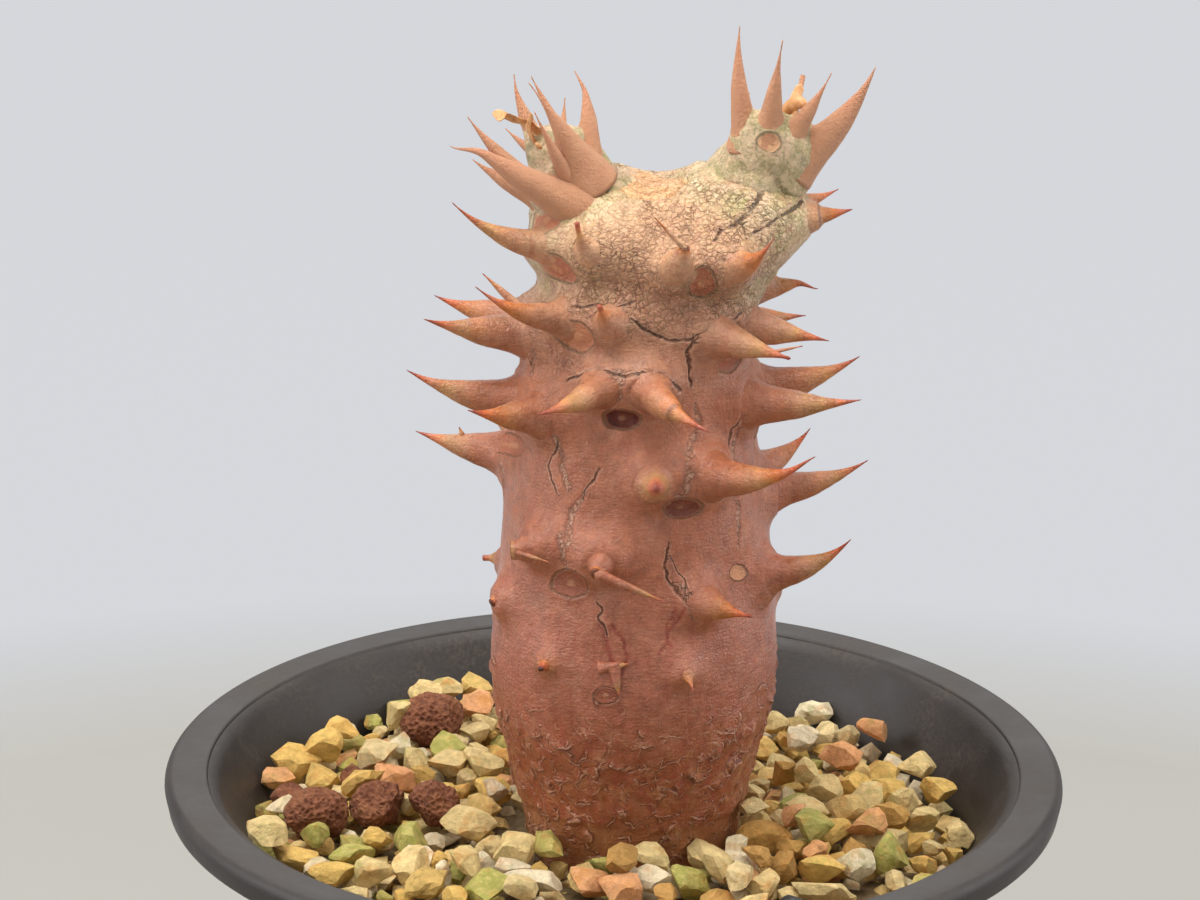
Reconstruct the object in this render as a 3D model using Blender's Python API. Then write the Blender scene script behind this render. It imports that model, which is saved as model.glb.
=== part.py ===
"""Potted pachypodium: a thorny succulent stem with two young shoots, in a round plastic pot.

Metres, +Z up. The origin is at the middle of the pot's foot, and the front is -Y.
Round the stem, an angle of 0 faces the front and grows towards +X.
"""

import math
import random

import bmesh
import bpy
from mathutils import Vector

MM = 0.001
GAP = 0.3 * MM

# Pot
POT_HEIGHT = 90 * MM
RIM_RADIUS = 52.5 * MM
RIM_INNER_RADIUS = 47.1 * MM
LIP_HEIGHT = 3.4 * MM
LIP_THICKNESS = 1.7 * MM
THROAT_RADIUS = 41.4 * MM
THROAT_DEPTH = 10 * MM
FOOT_RADIUS = 33.5 * MM
FOOT_RECESS = 2.2 * MM
FOOT_RING_WIDTH = 2.2 * MM
FOOT_EDGE = 0.6 * MM
WALL = 1.3 * MM
LIP_BEND = 1.1 * MM
LIP_DRAFT = 0.3 * MM
DRAIN_HOLE_RADIUS = 4 * MM
DRAIN_HOLE_PITCH = 19 * MM
DRAIN_HOLES = 5
POT_SEGMENTS = 48

# Fill of the pot
SOIL_TOP = 75.5 * MM
GRAVEL_TOP = 83.3 * MM
GRAVEL_BUMP = 0.7 * MM
GRAVEL_GRAIN = 13 * MM

# Stem: its middle, and its radius at each height, from the tap root's tip to the crown
STEM_X = 2.2 * MM
STEM_Y = -2.0 * MM
STEM_TOP = 160.6 * MM
STEM_SEGMENTS = 28
STEM_PROFILE = (
    (38, 1.2), (47, 3.6), (57, 6.4), (67, 9.0), (75, 10.8), (81, 11.9), (88, 13.3), (94, 14.6),
    (99, 15.8), (104, 16.3), (109, 16.1), (116, 15.4), (125.5, 14.5), (135, 12.8), (143, 11.9),
    (149, 11.0), (154, 11.7), (157.5, 11.0), (159.5, 8.2), (160.6, 3.5),
)
CROWN_START = 145 * MM
CROWN_END = 155 * MM
CROWN_SHIFT = 3.3 * MM
CROWN_WIDEN = 0.20
CROWN_FLATTEN = 0.12

# Spiral of spine pairs: pair 0 is the one that faces the front
FIRST_ANGLE = -6.0
TURN_BELOW = 138.6
TURN_ABOVE = 140.3
LOWEST_PAIR = -13
HIGHEST_PAIR = 12
SCAR_HEIGHTS = ((-13, 105.1), (-8, 117.9), (-5, 126.6), (0, 137.1), (5, 145.4), (8, 150.4), (12, 154.6))
PAIR_SPREADS = ((-13, 15.6), (-10, 11.5), (-8, 8.0), (-5, 6.0), (0, 4.4), (5, 5.4), (12, 5.0))
SPINES_ABOVE_SCAR = 3.2 * MM
SEPARATE_SPREAD = 9 * MM

# Reach of each spine from its foot to its tip, in millimetres: sideways, outward and up.
# The first is the spine on the smaller angle. Pairs that are not here grow by the common rule.
SPINE_REACH = {
    -13: ((-0.8, 2.4, -0.2), (1.6, 3.0, -1.6)),
    -12: ((-0.8, 2.6, 0.4), (1.0, 3.0, 0.4)),
    -11: ((-1.5, 3.4, -0.4), (1.2, 1.8, -0.4)),
    -10: ((2.0, 6.6, -0.8), (4.0, 9.8, 5.8)),
    -9: ((-2.5, 6.0, 1.0), (3.0, 7.5, 1.5)),
    -8: ((-2.6, 2.6, -0.2), (1.0, 3.6, -0.6)),
    -7: ((-3.2, 11.5, 4.2), (1.5, 8.0, 4.6)),
    -6: ((-5.0, 10.0, 1.0), (3.0, 11.6, 2.0)),
    -5: ((-1.6, 4.6, 0.9), (7.6, 12.8, 4.6)),
    -3: ((-5.6, 12.6, 4.0), (1.6, 11.0, 2.5)),
    -2: ((-1.0, 14.2, 1.8), (3.0, 12.4, 4.2)),
    0: ((-6.2, 11.5, 0.0), (8.2, 9.8, -1.8)),
    1: ((-4.0, 9.6, 0.0), (5.0, 10.0, 2.0)),
    2: ((-2.4, 11.2, 2.6), (4.5, 12.8, 3.2)),
    3: ((1.0, 10.5, -1.2), (3.8, 10.6, -1.0)),
    5: ((-5.2, 12.2, 6.0), (0.6, 4.6, 3.6)),
    6: ((-3.5, 7.6, 1.4), (5.0, 8.0, 2.0)),
    7: ((-2.5, 3.4, 0.6), (-1.0, 3.2, 0.6)),
    8: ((-0.2, 4.4, 4.2), (2.6, 7.2, 5.0)),
    9: ((-1.0, 3.6, 3.6), (3.0, 7.0, 2.0)),
    10: ((-5.2, 11.4, 6.4), (1.1, 4.2, 5.0)),
    11: ((-1.0, 7.1, 1.1), (2.0, 7.0, 1.5)),
    12: ((-3.0, 6.0, 0.0), (0.5, 5.0, 0.5)),
}
# Turn in degrees and rise in millimetres of a pair that stands off the spiral
PAIR_NUDGE = {
    -8: (6, 0), -3: (0, 1.5), 5: (-4, -1.6), 6: (0, -3.0), 8: (-19, -0.6), 10: (-3, -1.6), 12: (-8, -1.5),
}
COMMON_REACH = (4.0, 10.5, 2.0)
COMMON_SPREAD = 1.2
SEED = 11

# Spine and cushion
SPINE_SIDES = 7
SPINE_ROOT = 2.0 * MM
THINNEST_SPINE = 1.0 * MM
THICKEST_SPINE = 2.9 * MM
SPINE_STOUTNESS = 0.16
CUSHION_RISE = 2.4 * MM
CUSHION_HALF_HEIGHT = 2.9 * MM
CUSHION_MARGIN = 1.6 * MM
CUSHION_SINK = 0.4 * MM

# Young shoots: foot and head of the middle line, and radius at foot, waist and head
LEFT_SHOOT = {"foot": (-1.5, -2.0, 152.0), "head": (-8.4, -1.0, 165.6), "radii": (6.4, 5.0, 2.6)}
RIGHT_SHOOT = {"foot": (10.6, -1.5, 151.0), "head": (17.2, -1.0, 166.2), "radii": (4.4, 6.2, 3.6)}
SHOOT_SEGMENTS = 14
YOUNG_STOUTNESS = 0.64

# Spine pairs of a shoot: place along it, turn round it, the feet's distance, and the two tips' places
LEFT_SHOOT_PAIRS = (
    (0.78, 20, 2.8, (-9.4, -8.0, 169.9), (-10.1, -6.0, 172.5)),
    (0.68, -74, 3.2, (-16.4, -1.0, 162.8), (-18.5, -8.0, 167.9)),
    (0.84, -138, 2.4, (-15.0, 5.5, 166.0), (-16.8, -3.0, 168.4)),
    (1.06, 172, 2.2, (-8.8, 3.5, 171.6), (-11.6, 3.0, 171.6)),
    (0.78, 117, 2.8, (-4.0, 0.5, 172.5), (-5.0, 5.5, 168.6)),
)
RIGHT_SHOOT_PAIRS = (
    (0.98, 20, 3.2, (18.0, -5.0, 177.6), (23.5, -4.0, 173.7)),
    (0.98, -108, 3.2, (13.0, 6.0, 172.7), (13.3, -1.0, 178.3)),
    (0.78, 90, 3.4, (28.4, -2.0, 174.0), (25.0, 5.0, 170.0)),
    (0.92, 165, 3.0, (20.6, 6.0, 172.5), (17.5, 7.0, 171.5)),
)

# Dry leaves: foot, middle and end of the curled blade, and its width
DRY_LEAVES = {
    "dry_leaf_left": ((-8.8, -1.5, 163.0), (-9.0, -2.5, 169.5), (-13.0, -2.5, 169.0), 2.6),
    "dry_leaf_right": ((18.2, 0.5, 164.5), (19.0, 1.5, 169.5), (20.0, 2.5, 171.0), 2.4),
}
LEAF_THICKNESS = 0.5 * MM

# Loose stones on the gravel: middle, radii and turn in degrees
LOOSE_STONES = {
    "lava_stone_1": ((-34.5, -6.0, 84.6), (3.6, 3.2, 2.8), 20),
    "lava_stone_2": ((-27.5, -4.0, 84.8), (3.2, 3.0, 2.7), 70),
    "lava_stone_3": ((-21.0, -2.5, 84.6), (2.9, 2.6, 2.4), 140),
    "lava_stone_4": ((-22.0, 22.0, 85.4), (4.4, 3.6, 3.0), 35),
    "pale_stone": ((13.6, -17.5, 84.0), (3.0, 2.5, 2.0), 10),
    "orange_stone": ((17.5, -9.0, 84.2), (3.4, 2.4, 2.0), -15),
    "black_pebble": ((20.0, -27.5, 83.9), (1.6, 1.4, 1.3), 0),
}


def mix(low, high, amount):
    """Value between low and high."""
    return low + (high - low) * amount


def smooth_step(value, start, end):
    """Rise from 0 at start to 1 at end, level at both."""
    amount = min(1.0, max(0.0, (value - start) / (end - start)))
    return amount * amount * (3 - 2 * amount)


def read_curve(points, place):
    """Height of a smooth curve through the points, which run up in their first number."""
    if place <= points[0][0]:
        return points[0][1]
    if place >= points[-1][0]:
        return points[-1][1]
    last = len(points) - 1
    k = max(i for i in range(last) if points[i][0] <= place)
    slopes = []
    for i in (k, k + 1):
        before = points[max(i - 1, 0)]
        after = points[min(i + 1, last)]
        slopes.append((after[1] - before[1]) / (after[0] - before[0]))
    width = points[k + 1][0] - points[k][0]
    t = (place - points[k][0]) / width
    rise = t * t * (3 - 2 * t)
    value = mix(points[k][1], points[k + 1][1], rise)
    return value + width * (slopes[0] * t * (1 - t) ** 2 - slopes[1] * t * t * (1 - t))


def clear_scene():
    for thing in list(bpy.data.objects):
        bpy.data.objects.remove(thing, do_unlink=True)


def make_material(name, colour, roughness, metallic=0.0):
    material = bpy.data.materials.new(name)
    material.use_nodes = True
    shader = material.node_tree.nodes["Principled BSDF"]
    shader.inputs["Base Color"].default_value = (*colour, 1.0)
    shader.inputs["Roughness"].default_value = roughness
    shader.inputs["Metallic"].default_value = metallic
    return material


def make_object(name, bm, material=None, smooth=True):
    """Object from a bmesh whose faces are turned outwards."""
    bmesh.ops.recalc_face_normals(bm, faces=bm.faces)
    mesh = bpy.data.meshes.new(name)
    bm.to_mesh(mesh)
    bm.free()
    thing = bpy.data.objects.new(name, mesh)
    bpy.context.scene.collection.objects.link(thing)
    if material:
        mesh.materials.append(material)
    if smooth:
        mesh.shade_smooth()
        mesh.set_sharp_from_angle(angle=math.radians(40))
    return thing


def loft(rings):
    """Closed bmesh through rings of equal count; a ring of one point closes an end as a tip."""
    bm = bmesh.new()
    rows = [[bm.verts.new(point) for point in ring] for ring in rings]
    for low, high in zip(rows, rows[1:]):
        count = max(len(low), len(high))
        for i in range(count):
            j = (i + 1) % count
            if len(low) == 1:
                bm.faces.new((low[0], high[j], high[i]))
            elif len(high) == 1:
                bm.faces.new((low[i], low[j], high[0]))
            else:
                bm.faces.new((low[i], low[j], high[j], high[i]))
    for row in (rows[0], rows[-1]):
        if len(row) > 2:
            bm.faces.new(row)
    return bm


def boolean(thing, other, operation, keep_other=False):
    """Change a shape by another, and remove the other. The second solver is for a lost shape."""
    modifier = thing.modifiers.new(operation.title(), "BOOLEAN")
    modifier.operation = operation
    modifier.object = other
    for solver in ("EXACT", "MANIFOLD"):
        modifier.solver = solver
        bpy.context.view_layer.update()
        shape = bpy.data.meshes.new_from_object(thing.evaluated_get(bpy.context.evaluated_depsgraph_get()))
        if shape.polygons:
            break
        bpy.data.meshes.remove(shape)
    thing.modifiers.remove(modifier)
    old = thing.data
    thing.data = shape
    bpy.data.meshes.remove(old)
    if not keep_other:
        bpy.data.objects.remove(other, do_unlink=True)


def circle(middle, radius, height, segments):
    step = 2 * math.pi / segments
    return [
        Vector((middle[0] + radius * math.cos(i * step), middle[1] + radius * math.sin(i * step), height))
        for i in range(segments)
    ]


# Pot

def throat_radius(height):
    """Inner radius of the pot: a funnel below the rim, then a straight taper to the floor."""
    funnel_foot = POT_HEIGHT - THROAT_DEPTH
    if height > funnel_foot:
        amount = (height - funnel_foot) / THROAT_DEPTH
        return mix(THROAT_RADIUS, RIM_INNER_RADIUS, amount ** 1.25)
    floor_radius = FOOT_RADIUS - WALL
    return mix(floor_radius, THROAT_RADIUS, height / funnel_foot)


def make_pot(material):
    """Thin shell turned about Z, with a flat rim, a rounded lip, a foot ring and drain holes."""
    under_lip = POT_HEIGHT - LIP_HEIGHT
    floor_low = FOOT_RECESS
    floor_high = FOOT_RECESS + WALL
    ring_inner = FOOT_RADIUS - FOOT_RING_WIDTH
    profile = [(ring_inner - FOOT_EDGE, floor_low), (ring_inner, 0.0), (FOOT_RADIUS - FOOT_EDGE, 0.0)]
    profile.append((FOOT_RADIUS, FOOT_EDGE))
    for height in (POT_HEIGHT * 0.45, POT_HEIGHT - THROAT_DEPTH, under_lip - 3 * MM):
        profile.append((throat_radius(height) + WALL, height))
    ledge = POT_HEIGHT - LIP_THICKNESS
    profile.append((RIM_INNER_RADIUS + WALL / 2, ledge))
    profile.append((RIM_RADIUS - LIP_THICKNESS, ledge))
    profile.append((RIM_RADIUS - LIP_THICKNESS + LIP_DRAFT, under_lip))
    profile.append((RIM_RADIUS - LIP_DRAFT, under_lip))
    for angle in (0, 30, 60, 90):
        turn = math.radians(angle)
        radius = RIM_RADIUS - LIP_BEND + LIP_BEND * math.cos(turn)
        profile.append((radius, POT_HEIGHT - LIP_BEND + LIP_BEND * math.sin(turn)))
    profile.append((RIM_INNER_RADIUS + LIP_DRAFT, POT_HEIGHT))
    for depth in (0.05, 0.3, 0.6, 1.0):
        height = POT_HEIGHT - THROAT_DEPTH * depth
        profile.append((throat_radius(height), height))
    profile.append((throat_radius(floor_high), floor_high))
    rings = [circle((0, 0), radius, height, POT_SEGMENTS) for radius, height in profile]
    pot = make_object("pot", loft(rings), material)
    for k in range(DRAIN_HOLES):
        turn = 2 * math.pi * k / DRAIN_HOLES
        middle = (DRAIN_HOLE_PITCH * math.cos(turn), DRAIN_HOLE_PITCH * math.sin(turn))
        low = circle(middle, DRAIN_HOLE_RADIUS, floor_low - 1 * MM, 12)
        high = circle(middle, DRAIN_HOLE_RADIUS, floor_high + 1 * MM, 12)
        boolean(pot, make_object("drain_cutter", loft([low, high])), "DIFFERENCE")
    return pot


# Stem and shoots

def crown_amount(height):
    return smooth_step(height, CROWN_START, CROWN_END)


def stem_middle(height):
    return STEM_X + CROWN_SHIFT * crown_amount(height), STEM_Y


def stem_point(angle, height, grow=0.0):
    """Point on the bark at an angle in radians; grow moves it off the bark."""
    radius = read_curve(STEM_PROFILE, height / MM) * MM + grow
    crown = crown_amount(height)
    x, y = stem_middle(height)
    wide = radius * (1 + CROWN_WIDEN * crown)
    deep = radius * (1 - CROWN_FLATTEN * crown)
    return Vector((x + wide * math.sin(angle), y - deep * math.cos(angle), height))


def make_stem(name, material=None, grow=0.0):
    """Stem with its tap root; the profile's heights set its rings."""
    heights = []
    for low, high in zip(STEM_PROFILE, STEM_PROFILE[1:]):
        heights.append(low[0])
        if high[0] - low[0] > 5:
            heights.append((low[0] + high[0]) / 2)
    heights.append(STEM_PROFILE[-1][0])
    step = 2 * math.pi / STEM_SEGMENTS
    rings = []
    for height in heights:
        rings.append([stem_point(i * step, height * MM, grow) for i in range(STEM_SEGMENTS)])
    lift = Vector((0, 0, grow))
    rings[-1] = [point + lift for point in rings[-1]]
    rings[-2] = [point + lift * 0.7 for point in rings[-2]]
    x, y = stem_middle(STEM_TOP)
    rings.insert(0, [Vector((STEM_X, STEM_Y, (STEM_PROFILE[0][0] - 1.5) * MM)) - lift])
    rings.append([Vector((x, y, STEM_TOP + 0.2 * MM)) + lift])
    return make_object(name, loft(rings), material)


def shoot_axis(shoot, along):
    foot = Vector(shoot["foot"]) * MM
    head = Vector(shoot["head"]) * MM
    return foot.lerp(head, along)


def shoot_frame(shoot):
    """Direction of the shoot, its front side and its right side."""
    run = (Vector(shoot["head"]) - Vector(shoot["foot"])).normalized()
    side = Vector((0, -1, 0)).cross(run).normalized() * -1
    front = side.cross(run) * -1
    if front.y > 0:
        front = -front
    if side.x < 0:
        side = -side
    return run, front, side


def shoot_point(shoot, along, angle, grow=0.0):
    run, front, side = shoot_frame(shoot)
    foot_radius, waist_radius, head_radius = shoot["radii"]
    curve = ((0.0, foot_radius), (0.5, waist_radius), (1.0, head_radius))
    radius = read_curve(curve, along) * MM + grow
    return shoot_axis(shoot, along) + (front * math.cos(angle) + side * math.sin(angle)) * radius


def make_shoot(name, shoot, material=None, grow=0.0):
    """Round cone with a domed head."""
    step = 2 * math.pi / SHOOT_SEGMENTS
    rings = []
    for along in (0.0, 0.2, 0.4, 0.6, 0.8, 1.0):
        rings.append([shoot_point(shoot, along, i * step, grow) for i in range(SHOOT_SEGMENTS)])
    run = shoot_frame(shoot)[0]
    head = shoot_axis(shoot, 1.0)
    head_radius = shoot["radii"][2] * MM + grow
    for turn in (35, 65):
        lift = run * head_radius * math.sin(math.radians(turn))
        shrink = math.cos(math.radians(turn))
        rings.append([head + (point - head) * shrink + lift for point in rings[5]])
    rings.append([head + run * head_radius])
    return make_object(name, loft(rings), material)


# Spines

def make_spine(name, foot, outward, tip, stoutness, material=None):
    """Curved thorn, fat at its foot, that starts under the bark."""
    reach = tip - foot
    length = reach.length
    thick = min(THICKEST_SPINE, THINNEST_SPINE + SPINE_STOUTNESS * length) * stoutness
    start = foot - outward * SPINE_ROOT
    bend = foot + outward * length * 0.42 + reach * 0.12
    rings = []
    for t in (0.0, 0.2, 0.42, 0.62, 0.82):
        point = start * (1 - t) ** 2 + bend * 2 * t * (1 - t) + tip * t * t
        run = ((bend - start) * (1 - t) + (tip - bend) * t).normalized()
        level = run.cross(Vector((0, 0, 1)))
        if level.length < 0.2:
            level = run.cross(Vector((0, 1, 0)))
        level.normalize()
        rise = level.cross(run).normalized()
        radius = thick * (1 - t) ** 1.1 * (1 + 0.25 * math.sin(math.pi * min(1, t * 2)) * (1 - t))
        ring = []
        for i in range(SPINE_SIDES):
            turn = 2 * math.pi * i / SPINE_SIDES
            ring.append(point + (level * math.cos(turn) + rise * math.sin(turn)) * radius)
        rings.append(ring)
    rings.append([tip])
    return make_object(name, loft(rings), material)


def make_cushion(middle, outward, sideways, half_width, stoutness):
    """Low mound that carries a pair of spines."""
    upward = outward.cross(sideways) * CUSHION_HALF_HEIGHT * stoutness
    rise = outward * CUSHION_RISE * stoutness
    bm = bmesh.new()
    bmesh.ops.create_uvsphere(bm, u_segments=8, v_segments=5, radius=1.0)
    for vertex in bm.verts:
        x, y, z = vertex.co
        offset = sideways * x * half_width + upward * y + rise * z
        vertex.co = middle - outward * CUSHION_SINK + offset
    return make_object("cushion", bm)


def make_pair(names, feet, outwards, tips, stoutness, cutters, material):
    """Two spines on one cushion, or two separate ones, ended at the bark."""
    spines = [make_spine("spine", *parts, stoutness, material) for parts in zip(feet, outwards, tips)]
    if len(names) == 1:
        middle = (feet[0] + feet[1]) / 2
        outward = (outwards[0] + outwards[1]).normalized()
        sideways = (feet[1] - feet[0]).normalized()
        half_width = (feet[1] - feet[0]).length / 2 + CUSHION_MARGIN * stoutness
        boolean(spines[0], spines.pop(), "UNION")
        boolean(spines[0], make_cushion(middle, outward, sideways, half_width, stoutness), "UNION")
    for name, spine in zip(names, spines):
        for cutter in cutters:
            boolean(spine, cutter, "DIFFERENCE", keep_other=True)
        spine.name = name
        spine.data.name = name


def stem_pair_angle(pair):
    turn = TURN_BELOW if pair < 0 else TURN_ABOVE
    return math.radians(FIRST_ANGLE + turn * pair + PAIR_NUDGE.get(pair, (0, 0))[0])


def make_stem_pairs(cutters, material):
    """Pairs of spines up the stem's spiral."""
    chance = random.Random(SEED)
    for pair in range(LOWEST_PAIR, HIGHEST_PAIR + 1):
        angle = stem_pair_angle(pair)
        rise = PAIR_NUDGE.get(pair, (0, 0))[1] * MM
        height = read_curve(SCAR_HEIGHTS, pair) * MM + SPINES_ABOVE_SCAR + rise
        spread = read_curve(PAIR_SPREADS, pair) * MM
        common = [(part + chance.uniform(-COMMON_SPREAD, COMMON_SPREAD)) for part in COMMON_REACH * 2]
        common_reach = ((-common[0], common[1], common[2]), tuple(common[3:]))
        radius = read_curve(STEM_PROFILE, height / MM) * MM
        outward = Vector((math.sin(angle), -math.cos(angle), 0))
        sideways = Vector((math.cos(angle), math.sin(angle), 0))
        feet = []
        outwards = []
        tips = []
        for side, reach in zip((-1, 1), SPINE_REACH.get(pair, common_reach)):
            foot_angle = angle + side * spread / 2 / radius
            foot = stem_point(foot_angle, height)
            feet.append(foot)
            outwards.append(Vector((math.sin(foot_angle), -math.cos(foot_angle), 0)))
            tips.append(foot + (sideways * reach[0] + outward * reach[1]) * MM + Vector((0, 0, reach[2] * MM)))
        number = pair - LOWEST_PAIR + 1
        names = ["spine_pair_%02d" % number]
        if spread > SEPARATE_SPREAD:
            names = ["spine_%02d_left" % number, "spine_%02d_right" % number]
        make_pair(names, feet, outwards, tips, 1.0, cutters, material)


def make_shoot_pairs(prefix, shoot, pairs, cutters, material):
    """Pairs of spines round a shoot, with hand-placed tips."""
    run, front, side = shoot_frame(shoot)
    for number, (along, turn, spread, *tip_places) in enumerate(pairs, start=1):
        angle = math.radians(turn)
        radius = (shoot_point(shoot, along, angle) - shoot_axis(shoot, along)).length
        feet = []
        outwards = []
        for way in (-1, 1):
            foot_angle = angle + way * spread * MM / 2 / radius
            feet.append(shoot_point(shoot, along, foot_angle))
            outwards.append(front * math.cos(foot_angle) + side * math.sin(foot_angle))
        tips = [Vector(place) * MM for place in tip_places]
        leans = [(tip - foot).normalized() for tip, foot in zip(tips, feet)]
        outwards = [(outward * 0.45 + lean * 0.55).normalized() for outward, lean in zip(outwards, leans)]
        names = ["%s_pair_%d" % (prefix, number)]
        make_pair(names, feet, outwards, tips, YOUNG_STOUTNESS, cutters, material)


# Dry leaves, soil and stones

def make_dry_leaf(name, foot, middle, end, width, cutters, material):
    """Thin curled blade on a shoot's head."""
    foot, middle, end = (Vector(place) * MM for place in (foot, middle, end))
    rings = []
    for t in (0.0, 0.2, 0.4, 0.6, 0.8, 1.0):
        point = foot * (1 - t) ** 2 + middle * 2 * t * (1 - t) + end * t * t
        run = ((middle - foot) * (1 - t) + (end - middle) * t).normalized()
        across = Vector((0, 1, 0)).cross(run).cross(run).normalized()
        thick = across.cross(run).normalized()
        half = width * MM / 2 * (0.45 + 0.55 * math.sin(math.pi * (0.15 + 0.7 * t)))
        ring = []
        for sideways, lift in ((-1, 0.5), (0, 0.0), (1, 0.5), (1, 1.5), (0, 1.0), (-1, 1.5)):
            ring.append(point + across * sideways * half + thick * lift * LEAF_THICKNESS)
        rings.append(ring)
    leaf = make_object(name, loft(rings), material, smooth=False)
    for cutter in cutters:
        boolean(leaf, cutter, "DIFFERENCE", keep_other=True)


def make_soil(cutter, material):
    """Tapered block of potting mix, with a hole for the root."""
    low = FOOT_RECESS + WALL + GAP
    heights = (low, (low + SOIL_TOP) / 2, SOIL_TOP)
    rings = [circle((0, 0), throat_radius(height) - GAP, height, POT_SEGMENTS) for height in heights]
    soil = make_object("soil", loft(rings), material)
    boolean(soil, cutter, "DIFFERENCE", keep_other=True)


def gravel_height(x, y):
    """Top of the gravel layer: low humps the size of its grains, lower towards the front."""
    wave = 2 * math.pi / GRAVEL_GRAIN
    humps = math.cos(x * wave) * math.cos(y * wave * 0.87 + x * 90)
    return GRAVEL_TOP + GRAVEL_BUMP * humps + y * 0.02


def make_gravel(cutters, material):
    """Layer of gravel on the soil, with a hole for the stem and seats for the loose stones."""
    low = SOIL_TOP + GAP
    inner_rings = 9
    edge_height = GRAVEL_TOP - 0.4 * MM
    rings = [circle((0, 0), throat_radius(low) - GAP, low, POT_SEGMENTS)]
    funnel_foot = POT_HEIGHT - THROAT_DEPTH
    rings.append(circle((0, 0), throat_radius(funnel_foot) - GAP, funnel_foot, POT_SEGMENTS))
    edge = throat_radius(edge_height) - GAP * 1.5
    for k in range(inner_rings + 1):
        radius = edge * (1 - k / (inner_rings + 1))
        ring = circle((0, 0), radius, 0, POT_SEGMENTS)
        for point in ring:
            point.z = edge_height if k == 0 else gravel_height(point.x, point.y)
        rings.append(ring)
    rings.append([Vector((0, 0, GRAVEL_TOP))])
    gravel = make_object("gravel_bed", loft(rings), material)
    for cutter in cutters:
        boolean(gravel, cutter, "DIFFERENCE", keep_other=True)


def make_stone(name, middle, radii, turn, material=None, grow=0.0):
    """Worn stone with a slightly uneven skin."""
    chance = random.Random(name.rsplit("_cutter", 1)[0])
    bm = bmesh.new()
    bmesh.ops.create_icosphere(bm, subdivisions=2, radius=1.0)
    dents = [(Vector([chance.uniform(-1, 1) for _ in range(3)]).normalized(), chance.uniform(0.05, 0.2))
             for _ in range(6)]
    angle = math.radians(turn)
    for vertex in bm.verts:
        away = vertex.co.normalized()
        shrink = 1.0
        for direction, depth in dents:
            shrink -= depth * max(0.0, away.dot(direction) - 0.55)
        x, y, z = (part * (radius * MM * shrink + grow) for part, radius in zip(away, radii))
        vertex.co = Vector((
            x * math.cos(angle) - y * math.sin(angle) + middle[0] * MM,
            x * math.sin(angle) + y * math.cos(angle) + middle[1] * MM,
            z + middle[2] * MM,
        ))
    return make_object(name, bm, material)


def main():
    clear_scene()
    pot_plastic = make_material("pot_plastic", (0.035, 0.03, 0.028), 0.55)
    bark = make_material("bark", (0.45, 0.22, 0.13), 0.45)
    wool = make_material("woolly_shoot", (0.55, 0.50, 0.30), 0.8)
    thorn = make_material("thorn", (0.50, 0.24, 0.10), 0.4)
    young_thorn = make_material("young_thorn", (0.55, 0.42, 0.22), 0.5)
    dry = make_material("dry_leaf", (0.55, 0.28, 0.12), 0.7)
    earth = make_material("potting_mix", (0.06, 0.04, 0.03), 0.95)
    gravel = make_material("gravel", (0.66, 0.55, 0.33), 0.85)
    stone_finishes = {
        "lava": make_material("lava_stone", (0.24, 0.09, 0.05), 0.9),
        "pale": make_material("pale_stone", (0.60, 0.52, 0.42), 0.8),
        "orange": make_material("orange_stone", (0.55, 0.35, 0.15), 0.8),
        "black": make_material("black_pebble", (0.02, 0.02, 0.02), 0.6),
    }

    make_pot(pot_plastic)
    make_stem("trunk", bark)
    stem_cutter = make_stem("stem_cutter", grow=GAP)
    left_cutter = make_shoot("left_cutter", LEFT_SHOOT, grow=GAP)
    right_cutter = make_shoot("right_cutter", RIGHT_SHOOT, grow=GAP)
    for name, shoot in (("left_shoot", LEFT_SHOOT), ("right_shoot", RIGHT_SHOOT)):
        boolean(make_shoot(name, shoot, wool), stem_cutter, "DIFFERENCE", keep_other=True)

    cutters = (stem_cutter, left_cutter, right_cutter)
    make_stem_pairs(cutters, thorn)
    make_shoot_pairs("left_shoot", LEFT_SHOOT, LEFT_SHOOT_PAIRS, cutters, young_thorn)
    make_shoot_pairs("right_shoot", RIGHT_SHOOT, RIGHT_SHOOT_PAIRS, cutters, young_thorn)
    for name, shape in DRY_LEAVES.items():
        make_dry_leaf(name, *shape, cutters, dry)

    make_soil(stem_cutter, earth)
    stone_cutters = []
    for name, shape in LOOSE_STONES.items():
        make_stone(name, *shape, stone_finishes[name.split("_")[0]])
        stone_cutters.append(make_stone(name + "_cutter", *shape, grow=GAP))
    make_gravel((stem_cutter, *stone_cutters), gravel)

    for cutter in (*cutters, *stone_cutters):
        bpy.data.objects.remove(cutter, do_unlink=True)


main()
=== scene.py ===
import math
import random

import bpy
import numpy as np
from mathutils import Matrix, Vector


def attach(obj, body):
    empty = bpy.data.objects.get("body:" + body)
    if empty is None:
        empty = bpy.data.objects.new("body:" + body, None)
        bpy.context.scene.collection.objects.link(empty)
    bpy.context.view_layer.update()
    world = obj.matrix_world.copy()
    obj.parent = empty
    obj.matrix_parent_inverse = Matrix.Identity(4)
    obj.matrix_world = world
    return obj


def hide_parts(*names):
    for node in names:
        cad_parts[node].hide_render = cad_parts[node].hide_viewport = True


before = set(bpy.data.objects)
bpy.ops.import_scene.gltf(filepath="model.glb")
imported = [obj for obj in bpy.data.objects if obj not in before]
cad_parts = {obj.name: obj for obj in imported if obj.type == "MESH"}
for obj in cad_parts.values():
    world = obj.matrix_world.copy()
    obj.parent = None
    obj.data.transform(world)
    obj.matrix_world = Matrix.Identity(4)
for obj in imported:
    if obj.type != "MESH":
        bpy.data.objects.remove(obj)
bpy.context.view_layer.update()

mm = 0.001                  # the sizes below are in millimetres and degrees unless a note says otherwise

# Camera: the photograph's own view, found from the pot's rim

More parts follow.
